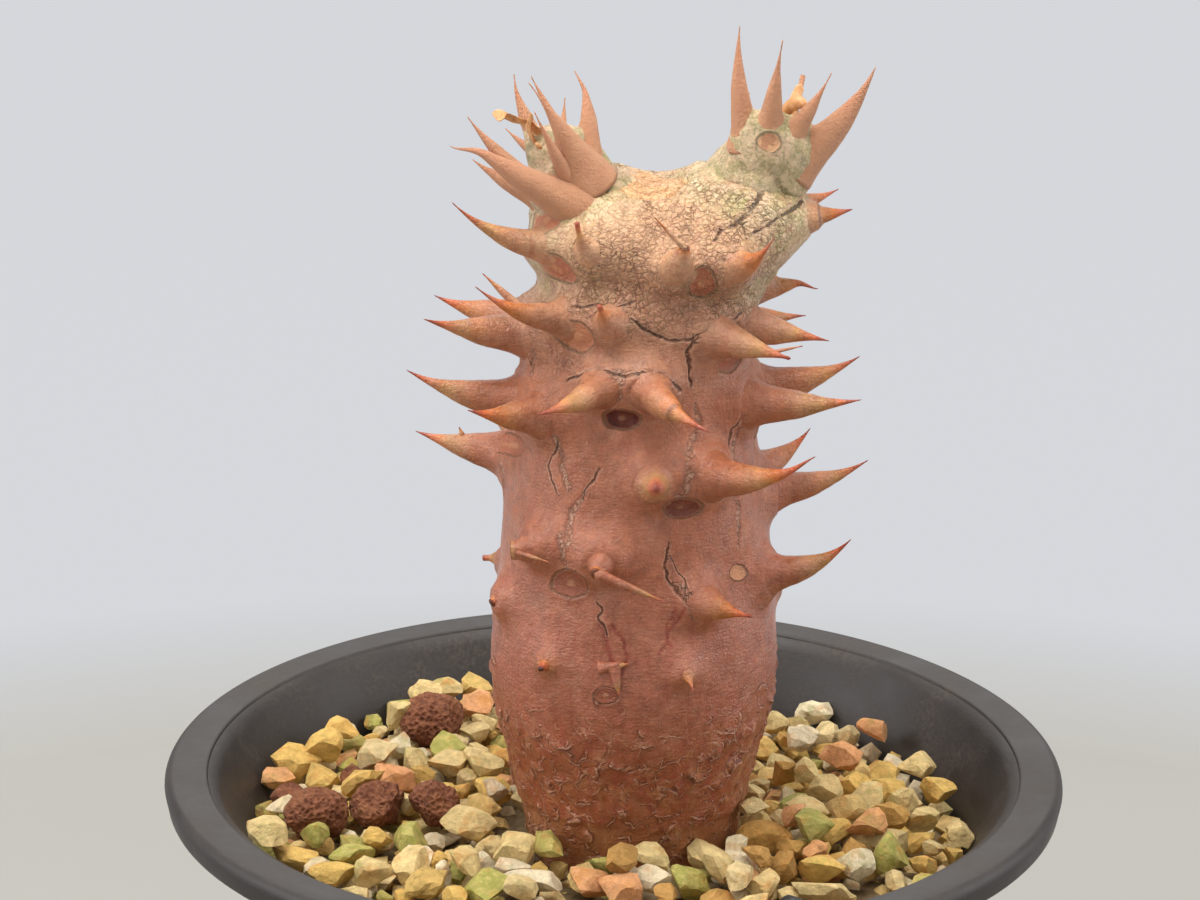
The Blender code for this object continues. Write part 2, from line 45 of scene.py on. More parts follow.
cameraView = {
    "place": (0.0, -462.6, 279.8),
    "pitch": 18.13,
    "yaw": -0.23,
    "roll": 0.4,
    "focalPixels": 4248.0,
    "photoWidth": 1200,
    "photoHeight": 900,
    "sensor": 36.0,
}


def cameraAxes():
    pitch = math.radians(cameraView["pitch"])
    yaw = math.radians(cameraView["yaw"])
    roll = math.radians(cameraView["roll"])
    ahead = np.array([math.sin(yaw) * math.cos(pitch), math.cos(yaw) * math.cos(pitch), -math.sin(pitch)])
    level = np.cross(ahead, [0.0, 0.0, 1.0])
    level /= np.linalg.norm(level)
    rise = np.cross(level, ahead)
    right = level * math.cos(roll) + rise * math.sin(roll)
    up = rise * math.cos(roll) - level * math.sin(roll)
    return ahead, right, up


def pixelRay(pixel):                                    # from the camera through a pixel of the photograph
    ahead, right, up = cameraAxes()
    across = (pixel[0] - cameraView["photoWidth"] / 2) / cameraView["focalPixels"]
    down = (pixel[1] - cameraView["photoHeight"] / 2) / cameraView["focalPixels"]
    ray = ahead + right * across - up * down
    return np.array(cameraView["place"]), ray / np.linalg.norm(ray)


def onLevel(pixel, height):                             # where that ray meets a level plane
    eye, ray = pixelRay(pixel)
    return eye + ray * (height - eye[2]) / ray[2]


def atDepth(pixel, y):                                  # where that ray meets an upright plane
    eye, ray = pixelRay(pixel)
    return eye + ray * (y - eye[1]) / ray[1]


def makeCamera():
    ahead, right, up = cameraAxes()
    bpy.ops.object.camera_add(location=[part * mm for part in cameraView["place"]])
    camera = bpy.context.object
    camera.name = "photo_camera"
    turn = Matrix((right, up, -ahead)).transposed().to_4x4()
    camera.matrix_world = Matrix.Translation(camera.location) @ turn
    camera.data.sensor_width = cameraView["sensor"]
    camera.data.lens = cameraView["focalPixels"] * cameraView["sensor"] / cameraView["photoWidth"]
    camera.data.clip_start = 0.01
    camera.data.clip_end = 20
    bpy.context.scene.camera = camera


makeCamera()
print("camera placed")

# Numbers that vary over a surface


def smoothRise(value, start, end):                      # 0 before start, 1 after end, level at both
    amount = np.clip((value - start) / (end - start), 0, 1)
    return amount * amount * (3 - 2 * amount)


def easedCurve(points, places):                         # smooth curve through given points
    xs, ys = np.array(points, float).T
    places = np.clip(places, xs[0], xs[-1])
    k = np.clip(np.searchsorted(xs, places, side="right") - 1, 0, len(xs) - 2)
    before = np.maximum(np.arange(len(xs)) - 1, 0)
    after = np.minimum(np.arange(len(xs)) + 1, len(xs) - 1)
    slopes = (ys[after] - ys[before]) / (xs[after] - xs[before])
    width = xs[k + 1] - xs[k]
    t = (places - xs[k]) / width
    rise = t * t * (3 - 2 * t)
    bend = width * (slopes[k] * t * (1 - t) ** 2 - slopes[k + 1] * t * t * (1 - t))
    return ys[k] * (1 - rise) + ys[k + 1] * rise + bend


def scatter(x, y, z, seed):                             # a number from 0 to 1 for each whole-number place
    value = np.sin(x * 127.1 + y * 311.7 + z * 74.7 + seed * 53.3) * 43758.5453
    return value - np.floor(value)


def lumps(places, size, seed):                          # smooth noise from -1 to 1 with bumps of that size
    cell = np.asarray(places, float) / size
    low = np.floor(cell)
    part = cell - low
    part = part * part * (3 - 2 * part)
    total = np.zeros(len(cell))
    for corner in np.ndindex(2, 2, 2):
        weight = np.prod(np.where(np.array(corner) == 1, part, 1 - part), axis=1)
        total += weight * scatter(*(low + corner).T, seed)
    return total * 2 - 1


def manyLumps(places, size, seed):                      # the same with finer bumps on it
    size = np.asarray(size, float)
    return (lumps(places, size, seed) + 0.5 * lumps(places, size / 2.1, seed + 1)
            + 0.25 * lumps(places, size / 4.3, seed + 2)) / 1.5


def cellNet(places, size, seed):                        # 0 on the lines between cells, and each cell's own number
    cell = np.asarray(places, float) / size
    low = np.floor(cell)
    nearest = np.full(len(cell), 9.0)
    second = np.full(len(cell), 9.0)
    number = np.zeros(len(cell))
    for corner in np.ndindex(3, 3, 3):
        site = low + corner - 1
        x, y, z = site.T
        spot = np.stack([scatter(x, y, z, seed), scatter(x, y, z, seed + 1), scatter(x, y, z, seed + 2)], axis=1)
        gap = np.linalg.norm(site + 0.08 + 0.84 * spot - cell, axis=1)
        closer = gap < nearest
        second = np.where(closer, nearest, np.minimum(second, gap))
        number = np.where(closer, spot[:, 0], number)
        nearest = np.minimum(nearest, gap)
    return second - nearest, number


def softMin(a, b, reach):                               # smaller of two distances, rounded where they meet
    near = np.maximum(reach - np.abs(a - b), 0) / reach
    return np.minimum(a, b) - near * near * reach / 4


# Helpers for meshes


def onlySelect(*pieces):
    bpy.ops.object.select_all(action="DESELECT")
    for piece in pieces:
        piece.select_set(True)
    bpy.context.view_layer.objects.active = pieces[0]


def readPlaces(piece):                                  # vertices as millimetres
    flat = np.empty(len(piece.data.vertices) * 3)
    piece.data.vertices.foreach_get("co", flat)
    return flat.reshape(-1, 3) / mm


def writePlaces(piece, places):
    piece.data.vertices.foreach_set("co", (places * mm).ravel())
    piece.data.update()


def writeMark(piece, name, values):                     # a number on every vertex, which a material reads
    mark = piece.data.attributes.get(name) or piece.data.attributes.new(name, "FLOAT", "POINT")
    mark.data.foreach_set("value", np.asarray(values, np.float32))


def wrapGrid(name, columns, rows, shape):               # a flat grid, wrapped round into a closed skin
    bpy.ops.object.select_all(action="DESELECT")
    bpy.ops.mesh.primitive_grid_add(x_subdivisions=columns, y_subdivisions=rows, size=1.0)
    piece = bpy.context.object
    piece.name = name
    piece.data.name = name
    flat = readPlaces(piece) * mm
    places, marks = shape(np.clip(flat[:, 0] + 0.5, 0, 1), np.clip(flat[:, 1] + 0.5, 0, 1))
    writePlaces(piece, places)
    for mark, values in marks.items():
        writeMark(piece, mark, values)
    bpy.ops.object.mode_set(mode="EDIT")
    bpy.ops.mesh.select_all(action="SELECT")
    bpy.ops.mesh.remove_doubles(threshold=0.000002)
    bpy.ops.mesh.normals_make_consistent(inside=False)
    bpy.ops.object.mode_set(mode="OBJECT")
    bpy.ops.object.shade_smooth()
    return piece


def joinPieces(name, pieces):
    onlySelect(*pieces)
    if len(pieces) > 1:
        bpy.ops.object.join()
    piece = bpy.context.object
    piece.name = name
    piece.data.name = name
    return piece


def seat(piece, slot, material, *nodes):                # finish and body of a piece, and what it stands for; slot is not used
    piece.data.materials.clear()
    piece.data.materials.append(material)
    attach(piece, "root")
    if nodes:
        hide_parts(*nodes)


# Helpers for materials


def startMaterial(name):
    material = bpy.data.materials.new(name)
    material.use_nodes = True
    tree = material.node_tree
    return material, tree, tree.nodes["Principled BSDF"]


def addNode(tree, kind, settings=None, **inputs):       # a node, its settings and what goes into its sockets
    node = tree.nodes.new("ShaderNode" + kind)
    for key, value in (settings or {}).items():
        setattr(node, key, value)
    for key, value in inputs.items():
        socket = node.inputs[int(key[1:])] if key[0] == "i" and key[1:].isdigit() else node.inputs[key]
        if isinstance(value, bpy.types.NodeSocket):
            tree.links.new(value, socket)
        else:
            socket.default_value = value
    return node


def colourRamp(tree, value, stops, smooth=False):
    node = addNode(tree, "ValToRGB", i0=value)
    ramp = node.color_ramp
    if smooth:
        ramp.interpolation = "EASE"
    while len(ramp.elements) < len(stops):
        ramp.elements.new(0.5)
    for element, (place, colour) in zip(ramp.elements, stops):
        element.position = place
        element.color = (*colour, 1.0)
    return node.outputs["Color"]


def blendColour(tree, amount, first, second, kind="MIX"):
    node = addNode(tree, "Mix", {"data_type": "RGBA", "blend_type": kind, "clamp_factor": True})
    for socket, value in ((node.inputs[0], amount), (node.inputs[6], first), (node.inputs[7], second)):
        if isinstance(value, bpy.types.NodeSocket):
            tree.links.new(value, socket)
        elif isinstance(value, tuple):
            socket.default_value = (*value, 1.0)
        else:
            socket.default_value = value
    return node.outputs[2]


def calc(tree, kind, first, second=0.0, third=0.0):
    return addNode(tree, "Math", {"operation": kind}, i0=first, i1=second, i2=third).outputs[0]


def readMark(tree, name):
    return addNode(tree, "Attribute", {"attribute_name": name}).outputs["Fac"]


def objectPlace(tree, stretch=(1, 1, 1)):               # place on the piece, scaled
    place = addNode(tree, "TexCoord").outputs["Object"]
    return addNode(tree, "Mapping", Vector=place, Scale=stretch).outputs[0]


def noiseOf(tree, size, place, detail=3.0, roughness=0.5, distortion=0.0):
    return addNode(tree, "TexNoise", Vector=place, Scale=1 / (size * mm), Detail=detail, Roughness=roughness,
                   Distortion=distortion).outputs[0]


def rescale(tree, value, low, high, newLow=0.0, newHigh=1.0):
    return addNode(tree, "MapRange", i0=value, i1=low, i2=high, i3=newLow, i4=newHigh).outputs[0]


def bumpFrom(tree, value, depth, normal=None):
    node = addNode(tree, "Bump", Height=value, Distance=depth * mm, Strength=1.0)
    if normal is not None:
        tree.links.new(normal, node.inputs["Normal"])
    return node.outputs[0]


# The stem's shape

stem = {
    "middle": (2.2, -2.0),
    "outline": (
        (36.5, 0.0), (38, 1.2), (47, 3.6), (57, 6.4), (67, 9.0), (75, 10.8), (81, 11.9), (88, 13.3), (94, 14.6),
        (99, 15.8), (104, 16.3), (109, 16.1), (116, 15.4), (125.5, 14.5), (135, 12.8), (143, 11.9),
        (149, 11.0), (154, 11.7), (157.5, 11.0), (159.5, 8.2), (160.6, 3.5),
    ),
    "peak": 160.8,
    "crownStart": 145.0,
    "crownEnd": 155.0,
    "crownShift": 3.3,
    "crownWiden": 0.20,
    "crownFlatten": 0.12,
    "buried": 77.0,          # below this the skin is under the gravel
    "columns": 350,
    "rows": 268,
    "buriedRows": 16,
}


def stemOutline():                                      # radius, height, distance along and outward direction
    heights = np.concatenate([np.linspace(36.5, 157, 900), np.linspace(157.02, 160.6, 200)])
    radii = easedCurve(stem["outline"], heights)
    heights = np.append(heights, stem["peak"])
    radii = np.append(radii, 0.0)
    run = np.append(0, np.cumsum(np.hypot(np.diff(radii), np.diff(heights))))
    even = np.linspace(0, run[-1], 900)
    radii = np.interp(even, run, radii)
    heights = np.interp(even, run, heights)
    slopeRadius = np.gradient(radii, even)
    slopeHeight = np.gradient(heights, even)
    size = np.hypot(slopeRadius, slopeHeight)
    return {"radius": radii, "height": heights, "run": even,
            "outRadius": slopeHeight / size, "outHeight": -slopeRadius / size}


outline = stemOutline()


def crownAmount(height):
    return smoothRise(height, stem["crownStart"], stem["crownEnd"])


def stemPlaces(angle, height, radius):                  # angle 0 faces the front and grows to the right
    crown = crownAmount(height)
    wide = radius * (1 + stem["crownWiden"] * crown)
    deep = radius * (1 - stem["crownFlatten"] * crown)
    x = stem["middle"][0] + stem["crownShift"] * crown + wide * np.sin(angle)
    y = stem["middle"][1] - deep * np.cos(angle)
    return np.stack([x, y, height + 0 * angle], axis=1)


def stemAngle(places):                                  # angle and distance from the stem's middle line
    crown = crownAmount(places[:, 2])
    x = (places[:, 0] - stem["middle"][0] - stem["crownShift"] * crown) / (1 + stem["crownWiden"] * crown)
    y = (places[:, 1] - stem["middle"][1]) / (1 - stem["crownFlatten"] * crown)
    return np.arctan2(x, -y), np.hypot(x, y)


def onBark(pixel):                                      # angle and height where a pixel's ray meets the bare stem
    eye, ray = pixelRay(pixel)
    path = eye + ray * np.arange(420, 560, 0.1)[:, None]
    angle, across = stemAngle(path)
    inside = (across < easedCurve(stem["outline"], path[:, 2])) & (path[:, 2] < stem["peak"])
    k = int(np.argmax(inside))
    return angle[k], path[k, 2]


def turnFrom(angle, middle):                            # difference of two angles, the short way round
    return (angle - middle + math.pi) % (2 * math.pi) - math.pi


# Spiral of spine pairs, the same as the frame's: pair 0 faces the front

spiral = {
    "firstAngle": -6.0,
    "turnBelow": 138.6,
    "turnAbove": 140.3,
    "lowest": -13,
    "highest": 12,
    "scarHeights": ((-13, 105.1), (-8, 117.9), (-5, 126.6), (0, 137.1), (5, 145.4), (8, 150.4), (12, 154.6)),
    "spreads": ((-13, 15.6), (-10, 11.5), (-8, 8.0), (-5, 6.0), (0, 4.4), (5, 5.4), (12, 5.0)),
    "aboveScar": 3.2,
    "separateSpread": 9.0,
    "nudge": {-8: (6, 0), -3: (0, 1.5), 5: (-4, -1.6), 6: (0, -3.0), 8: (-19, -0.6), 10: (-3, -1.6),
              12: (-8, -1.5)},
}

# Reach of each spine from foot to tip: sideways, outward and up. The first is on the smaller angle.
spineReach = {
    -13: ((-0.8, 2.4, -0.2), (1.6, 3.0, -1.6)),
    -12: ((-0.8, 2.6, 0.4), (1.0, 3.0, 0.4)),
    -11: ((-1.5, 3.4, -0.4), (1.2, 1.8, -0.4)),
    -10: ((2.0, 6.6, -0.8), (4.0, 9.8, 5.8)),
    -9: ((-2.5, 6.0, 1.0), (3.0, 7.5, 1.5)),
    -8: ((-2.6, 2.6, -0.2), (1.0, 3.6, -0.6)),
    -7: ((-3.2, 11.5, 4.2), (1.5, 8.0, 4.6)),
    -6: ((-5.0, 10.0, 1.0), (3.0, 11.6, 2.0)),
    -5: ((-1.6, 4.6, 0.9), (7.6, 12.8, 4.6)),
    -3: ((-5.6, 12.6, 4.0), (1.6, 11.0, 2.5)),
    -2: ((-1.0, 14.2, 1.8), (3.0, 12.4, 4.2)),
    0: ((-6.2, 11.5, 0.0), (8.2, 9.8, -1.8)),
    1: ((-4.0, 9.6, 0.0), (5.0, 10.0, 2.0)),
    2: ((-2.4, 11.2, 2.6), (4.5, 12.8, 3.2)),
    3: ((1.0, 10.5, -1.2), (3.8, 10.6, -1.0)),
    5: ((-5.2, 12.2, 6.0), (0.6, 4.6, 3.6)),
    6: ((-3.5, 7.6, 1.4), (5.0, 8.0, 2.0)),
    7: ((-2.5, 3.4, 0.6), (-1.0, 3.2, 0.6)),
    8: ((-0.2, 4.4, 4.2), (2.6, 7.2, 5.0)),
    9: ((-1.0, 3.6, 3.6), (3.0, 7.0, 2.0)),
    10: ((-5.2, 11.4, 6.4), (1.1, 4.2, 5.0)),
    11: ((-1.0, 7.1, 1.1), (2.0, 7.0, 1.5)),
    12: ((-3.0, 6.0, 0.0), (0.5, 5.0, 0.5)),
}
commonReach = {"reach": (4.0, 10.5, 2.0), "spread": 1.2, "seed": 11}

# How single spines differ: radius at the foot, how full the shape is (under 0.7 is a dome), a broken end's
# radius, a hook at the tip, the place of a ring where the sheath ends, a socket at a broken end, whose hollow's
# shade is painted dark, and how far up the bark's own colour goes
spineHabit = {
    (-13, 0): {"thick": 1.2, "full": 0.6, "blunt": 0.35, "socket": 1},
    (-13, 1): {"thick": 1.5, "full": 1.2},
    (-12, 0): {"thick": 1.6, "full": 0.8},
    (-12, 1): {"thick": 1.6, "full": 0.8},
    (-11, 0): {"thick": 1.9, "full": 0.9, "blunt": 0.35},
    (-11, 1): {"thick": 1.9, "full": 0.6, "blunt": 0.5, "socket": 1, "tone": 0.6},
    (-10, 0): {"thick": 2.3, "full": 0.85, "blunt": 0.2},
    (-10, 1): {"thick": 2.4},
    (-8, 0): {"thick": 2.0, "full": 0.35, "blunt": 1.1, "socket": 1, "tone": 0.8},
    (-8, 1): {"thick": 2.4, "full": 0.60, "blunt": 0.75, "socket": 1, "tone": 0.8},
    (-7, 0): {"thick": 2.4},
    (-5, 0): {"thick": 2.5, "full": 0.60, "blunt": 0.4, "tone": 0.3},
    (-5, 1): {"thick": 2.7, "hook": (0.6, -0.2, 0.7)},
    (0, 0): {"thick": 2.2, "full": 0.85, "tone": 0.12},
    (0, 1): {"thick": 2.3, "full": 0.75, "ring": 0.62, "tone": 0.12},
    (3, 0): {"thick": 2.5, "full": 0.8, "blunt": 0.2},
    (5, 0): {"thick": 2.2, "full": 1.05},
    (5, 1): {"thick": 2.3, "full": 0.8, "blunt": 0.3, "tone": 0.5},
    (6, 0): {"hook": (0.2, 0.6, -1.2)},
    (7, 0): {"blunt": 0.4},
    (8, 0): {"thick": 2.1, "full": 0.42, "blunt": 0.6, "socket": 1, "tone": 0.8},
    (8, 1): {"thick": 2.5, "full": 1.1, "hook": (0.2, 0.3, 0.5)},
    (10, 0): {"thick": 2.2, "full": 1.05},
    (10, 1): {"thick": 2.7, "full": 1.1, "blunt": 0.3, "tone": 0.5},
    (11, 0): {"thick": 2.3, "full": 0.75, "ring": 0.52},
    (11, 1): {"thick": 1.6},
}

# Splinters of broken spines: from a place along a spine, or from the bark at a pixel, to a pixel; how far
# back from there, and the radius
splinters = {
    "rightStump": {"on": (-8, 1), "at": 0.97, "to": (667, 603), "back": 0.7, "radius": 0.62},
    "leftStump": {"on": (-8, 0), "at": 0.97, "to": (549, 562), "back": -5.0, "radius": 0.36},
    "upperStump": {"on": (8, 0), "at": 0.97, "to": (654, 217), "back": -1.5, "radius": 0.34},
    "forkLeft": {"on": (5, 0), "at": 0.5, "to": (482, 273), "back": 0.5, "radius": 0.62},
    "behindThree": {"on": (3, 0), "at": 0.78, "to": (803, 346), "back": 1.0, "radius": 0.25},
    "thirteen": {"on": (-13, 0), "from": (614, 664), "to": (619, 696), "back": -1.0, "radius": 0.75},
    "thirteenTwo": {"on": (-13, 0), "from": (600, 668), "to": (630, 664), "back": -0.8, "radius": 0.7},
    "nubSix": {"on": (-6, 1), "at": 0.5, "to": (459, 427), "back": 0.0, "radius": 0.5},
}


def pairPlace(pair):                                    # angle, scar height, distance between the feet
    turn = spiral["turnBelow"] if pair < 0 else spiral["turnAbove"]
    nudge = spiral["nudge"].get(pair, (0, 0))
    angle = math.radians(spiral["firstAngle"] + turn * pair + nudge[0])
    scar = float(easedCurve(spiral["scarHeights"], np.array([pair]))[0]) + nudge[1]
    spread = float(easedCurve(spiral["spreads"], np.array([pair]))[0])
    return angle, scar, spread


pairs = {pair: pairPlace(pair) for pair in range(spiral["lowest"], spiral["highest"] + 1)}

# Relief of the bark

relief = {
    "moundRise": 1.3,        # swelling that carries a pair of spines
    "nubRise": 0.9,          # swelling under a spine of the lowest pairs
    "netSize": 1.7,          # cells of the crazed skin near the crown
    "netDepth": 0.16,
    "wrinkle": 0.06,
    "flakeRise": 0.30,
    "flakes": 300,
    "seed": 5,
}

# Leaf scars that the photograph shows: pixel of the middle, half width and half height in pixels, turn, depth,
# and how dark and how pale their skin is. The other pairs have the common one.
shownScars = {
    0: ((622, 418), 17, 11, 0, 0.7, 1.0, 0.0),
    -5: ((679, 507), 17, 10, 0, 0.35, 0.8, 0.0),
    -8: ((572, 583), 18, 14, 0, 0.12, 0.5, 0.0),
    -13: ((606, 695), 12, 8, 0, 0.1, 0.5, 0.0),
    -10: ((737, 573), 8, 8, 0, 0.1, 0.0, 0.4),
    -3: ((516, 446), 12, 10, 0, 0.3, 0.3, 0.0),
    5: ((583, 335), 16, 16, 0, 0.4, 0.0, 0.15),
    8: ((698, 278), 12, 15, 0, 0.5, 0.15, 0.0),
    10: ((567, 263), 20, 13, 35, 0.5, 0.1, 0.0),
    "leftShootLow": ((560, 224), 11, 11, 0, 0.45, 0.1, 0.0),
    "leftShoot": ((592, 187), 12, 14, 0, 0.5, 0.0, 0.8),
    "rightShoot": ((769, 144), 9, 8, 0, 0.4, 0.0, 0.9),
}
commonScar = (1.9, 1.4, 0.4, 0.35, 0.0)


# Cracks in the bark, through pixels of the photograph: kind, half width, depth and route.
# A dark crack is one line; a pale one is a band of loose skin between fine lines.
barkCracks = {
    "leftPale": ("pale", 0.36, 0.16, ((553, 402), (556, 420), (561, 442), (566, 462), (569, 486))),
    "leftPaleLow": ("pale", 0.34, 0.15, ((584, 495), (574, 510), (572, 524), (574, 538))),
    "leftBranch": ("dark", 0.12, 0.10, ((584, 495), (592, 480), (601, 470))),
    "leftTwig": ("dark", 0.10, 0.10, ((561, 442), (552, 470), (560, 492))),
    "rightPale": ("pale", 0.30, 0.15, ((738, 392), (733, 420), (729, 450), (733, 478))),
    "rightLong": ("dark", 0.17, 0.30, ((731, 394), (727, 420), (725, 445), (729, 470))),
    "rightLow": ("pale", 0.26, 0.18, ((733, 484), (736, 505), (735, 545))),
    "rightDark": ("dark", 0.15, 0.30, ((667, 545), (665, 565), (669, 578), (676, 592), (682, 602))),
    "rightTwig": ("dark", 0.10, 0.12, ((672, 556), (679, 575), (684, 596), (690, 604))),
    "rightCrust": ("pale", 0.5, 0.12, ((678, 588), (684, 600), (690, 612))),
    "midLine": ("dark", 0.10, 0.12, ((601, 605), (603, 622), (606, 634))),
    "hookLeft": ("red", 0.28, 0.22, ((602, 626), (606, 640), (612, 656), (614, 672))),
    "hookRight": ("red", 0.28, 0.22, ((612, 626), (622, 638), (627, 655), (622, 672))),
    "lowRight": ("red", 0.2, 0.14, ((672, 610), (664, 624), (667, 644))),
    "lowRightTwo": ("red", 0.2, 0.14, ((680, 606), (674, 622), (660, 650))),
    "moundArc": ("dark", 0.16, 0.28, ((575, 380), (590, 370), (612, 368), (624, 373), (640, 369), (660, 374),
                                      (675, 386), (684, 400))),
    "pairFissure": ("pale", 0.42, 0.35, ((622, 372), (620, 382), (616, 394), (612, 402))),
    "pairFissureLow": ("pale", 0.40, 0.35, ((683, 454), (681, 466), (678, 480), (676, 490))),
    "pairFissureFoot": ("pale", 0.30, 0.25, ((565, 536), (569, 552), (571, 562))),
    "pairFissureUp": ("pale", 0.30, 0.2, ((683, 454), (690, 440), (697, 424), (693, 408))),
    "rightArc": ("dark", 0.17, 0.32, ((722, 314), (708, 326), (692, 334), (686, 346), (683, 362), (686, 384))),
    "leftArc": ("dark", 0.15, 0.26, ((539, 324), (543, 336), (541, 348), (541, 362))),
    "leftArcPale": ("pale", 0.26, 0.15, ((546, 340), (545, 356), (541, 372))),
    "armpit": ("dark", 0.18, 0.34, ((577, 299), (590, 304), (604, 300), (618, 304), (634, 300))),
    "sweep": ("dark", 0.16, 0.30, ((636, 318), (650, 332), (668, 340), (690, 338), (706, 326))),
    "greenOne": ("dark", 0.15, 0.30, ((718, 232), (733, 224), (748, 214), (752, 204))),
    "greenTwo": ("dark", 0.14, 0.28, ((733, 224), (739, 236), (752, 232), (768, 222), (782, 214))),
    "greenThree": ("dark", 0.11, 0.25, ((715, 238), (721, 230), (728, 226))),
}


def lineGap(across, up, route):                         # distance to a bent line, and how far to one side of it
    best = np.full(len(across), 99.0)
    side = np.full(len(across), 99.0)
    for (x0, y0), (x1, y1) in zip(route, route[1:]):
        run = (x1 - x0, y1 - y0)
        size = math.hypot(*run) + 1e-9
        t = np.clip(((across - x0) * run[0] + (up - y0) * run[1]) / size ** 2, 0, 1)
        gap = np.hypot(across - x0 - t * run[0], up - y0 - t * run[1])
        offset = ((across - x0) * run[1] - (up - y0) * run[0]) / size
        closer = gap < best
        side = np.where(closer, offset, side)
        best = np.where(closer, gap, best)
    return best, side


def crackRoutes():
    routes = []
    for kind, halfWidth, depth, pixels in barkCracks.values():
        spots = [onBark(pixel) for pixel in pixels]
        middle = spots[0][0]
        radius = float(easedCurve(stem["outline"], np.array([spots[0][1]]))[0])
        route = [(float(turnFrom(angle, middle)) * radius, float(height)) for angle, height in spots]
        routes.append((kind, halfWidth, depth, middle, radius, route))
    chance = random.Random(relief["seed"])
    for _ in range(26):                                 # the sides and the back, which the photograph doesn't show
        middle = math.radians(chance.uniform(72, 288))
        route = [(0.0, chance.uniform(104, 146))]
        for _ in range(chance.randint(2, 5)):
            x, y = route[-1]
            route.append((x + chance.uniform(-0.9, 0.9), y - chance.uniform(1.5, 3.0)))
        kind = chance.choice(("pale", "dark", "dark"))
        routes.append((kind, 0.34 if kind == "pale" else 0.14, 0.2, middle, 14.0, route))
    return routes


def flakeSpots():                                       # thin curled edges on the swollen foot of the stem
    chance = random.Random(relief["seed"] + 1)
    spots = []
    for _ in range(relief["flakes"]):
        height = chance.triangular(83, 107, 97)
        spots.append((chance.uniform(-math.pi, math.pi), height, chance.uniform(0.4, 1.5),
                      chance.gauss(-1.2, 1.4), chance.uniform(0.6, 1.9), chance.uniform(0.4, 1.0)))
    return spots


def shownScarPlaces():                                  # middle, sideways and upward directions on the skin
    spots = {}
    ahead, right, up = cameraAxes()
    for name, (pixel, wide, high, turn, depth, dark, pale) in shownScars.items():
        middle = onSkin(pixel)
        scale = cameraView["focalPixels"] / ((middle - cameraView["place"]) @ ahead)
        turned = math.radians(-turn)
        along = right * math.cos(turned) + up * math.sin(turned)
        over = up * math.cos(turned) - right * math.sin(turned)
        spots[name] = (middle, along * scale / wide, over * scale / high, depth, dark, pale)
    return spots


routes = crackRoutes()
flakes = flakeSpots()
apex = onBark((650, 190))


def addMounds(angle, height, radius, out):              # swellings under the pairs
    for middle, scar, spread in pairs.values():
        near = np.flatnonzero((np.abs(turnFrom(angle, middle)) * radius < 16) & (np.abs(height - scar) < 12))
        across = turnFrom(angle[near], middle) * radius[near]
        up = height[near] - scar - spiral["aboveScar"]
        if spread > spiral["separateSpread"]:
            for side in (-1, 1):
                gap = ((across - side * spread / 2) / 2.9) ** 2 + (up / 2.6) ** 2
                out[near] += relief["nubRise"] * np.exp(-gap)
        else:
            gap = (across / (spread / 2 + 3.2)) ** 2 + ((up - 0.5) / 2.7) ** 2
            out[near] += relief["moundRise"] * np.exp(-gap ** 1.35)


def markScar(away, depth, dark, pale, near, places, out, marks):
    inside = 1 - smoothRise(away, 0.82, 1.08)
    floor = 0.35 * np.exp(-(away / 0.45) ** 2) + 0.2 * lumps(places[near], 0.5, 4)
    out[near] += -depth * inside * (1 - 0.5 * floor) + 0.16 * np.exp(-((away - 1.16) / 0.13) ** 2)
    marks["scarAway"][near] = np.minimum(marks["scarAway"][near], away)
    wide = 1 - smoothRise(away, 1.2, 1.6)
    marks["scarDark"][near] = np.maximum(marks["scarDark"][near], wide * dark)
    marks["scarPale"][near] = np.maximum(marks["scarPale"][near], wide * pale)


def addShownScars(places, out, marks):
    for middle, along, over, depth, dark, pale in scarPlaces.values():
        near = np.flatnonzero(np.linalg.norm(places - middle, axis=1) < 4.5)
        off = places[near] - middle
        away = np.hypot(off @ along, off @ over) + 0.12 * lumps(places[near], 1.1, 3)
        markScar(away, depth, dark, pale, near, places, out, marks)


def addScars(angle, height, radius, places, out, marks):
    halfWidth, halfHeight, depth, dark, pale = commonScar
    for pair, (middle, scar, spread) in pairs.items():
        if pair in shownScars:
            continue
        near = np.flatnonzero((np.abs(turnFrom(angle, middle)) * radius < 7) & (np.abs(height - scar) < 5))
        across = turnFrom(angle[near], middle) * radius[near]
        away = np.hypot(across / halfWidth, (height[near] - scar) / halfHeight) + 0.12 * lumps(places[near], 1.1, 3)
        markScar(away, depth, dark, pale, near, places, out, marks)
    addShownScars(places, out, marks)


def keepNearest(marks, kind, near, gap, side):          # of several lines, each place keeps the nearest
    closer = gap < marks[kind + "Gap"][near]
    marks[kind + "Gap"][near] = np.where(closer, gap, marks[kind + "Gap"][near])
    marks[kind + "Side"][near] = np.where(closer, side, marks[kind + "Side"][near])


def addCracks(angle, height, places, out, marks):
    for kind, halfWidth, depth, middle, routeRadius, route in routes:
        low = min(spot[1] for spot in route) - 3
        high = max(spot[1] for spot in route) + 3
        near = np.flatnonzero((np.abs(turnFrom(angle, middle)) < 1.0) & (height > low) & (height < high))
        jitter = 0.32 * lumps(places[near], 0.9, 8) + 0.45 * lumps(places[near], 2.5, 9)
        gap, side = lineGap(turnFrom(angle[near], middle) * routeRadius + jitter, height[near], route)
        groove = np.exp(-(gap / max(halfWidth, 0.2)) ** 2)
        lip = np.exp(-((gap - 1.9 * halfWidth) / (0.8 * max(halfWidth, 0.2))) ** 2)
        out[near] += -depth * groove + 0.4 * depth * lip
        keepNearest(marks, kind, near, gap, side / halfWidth)


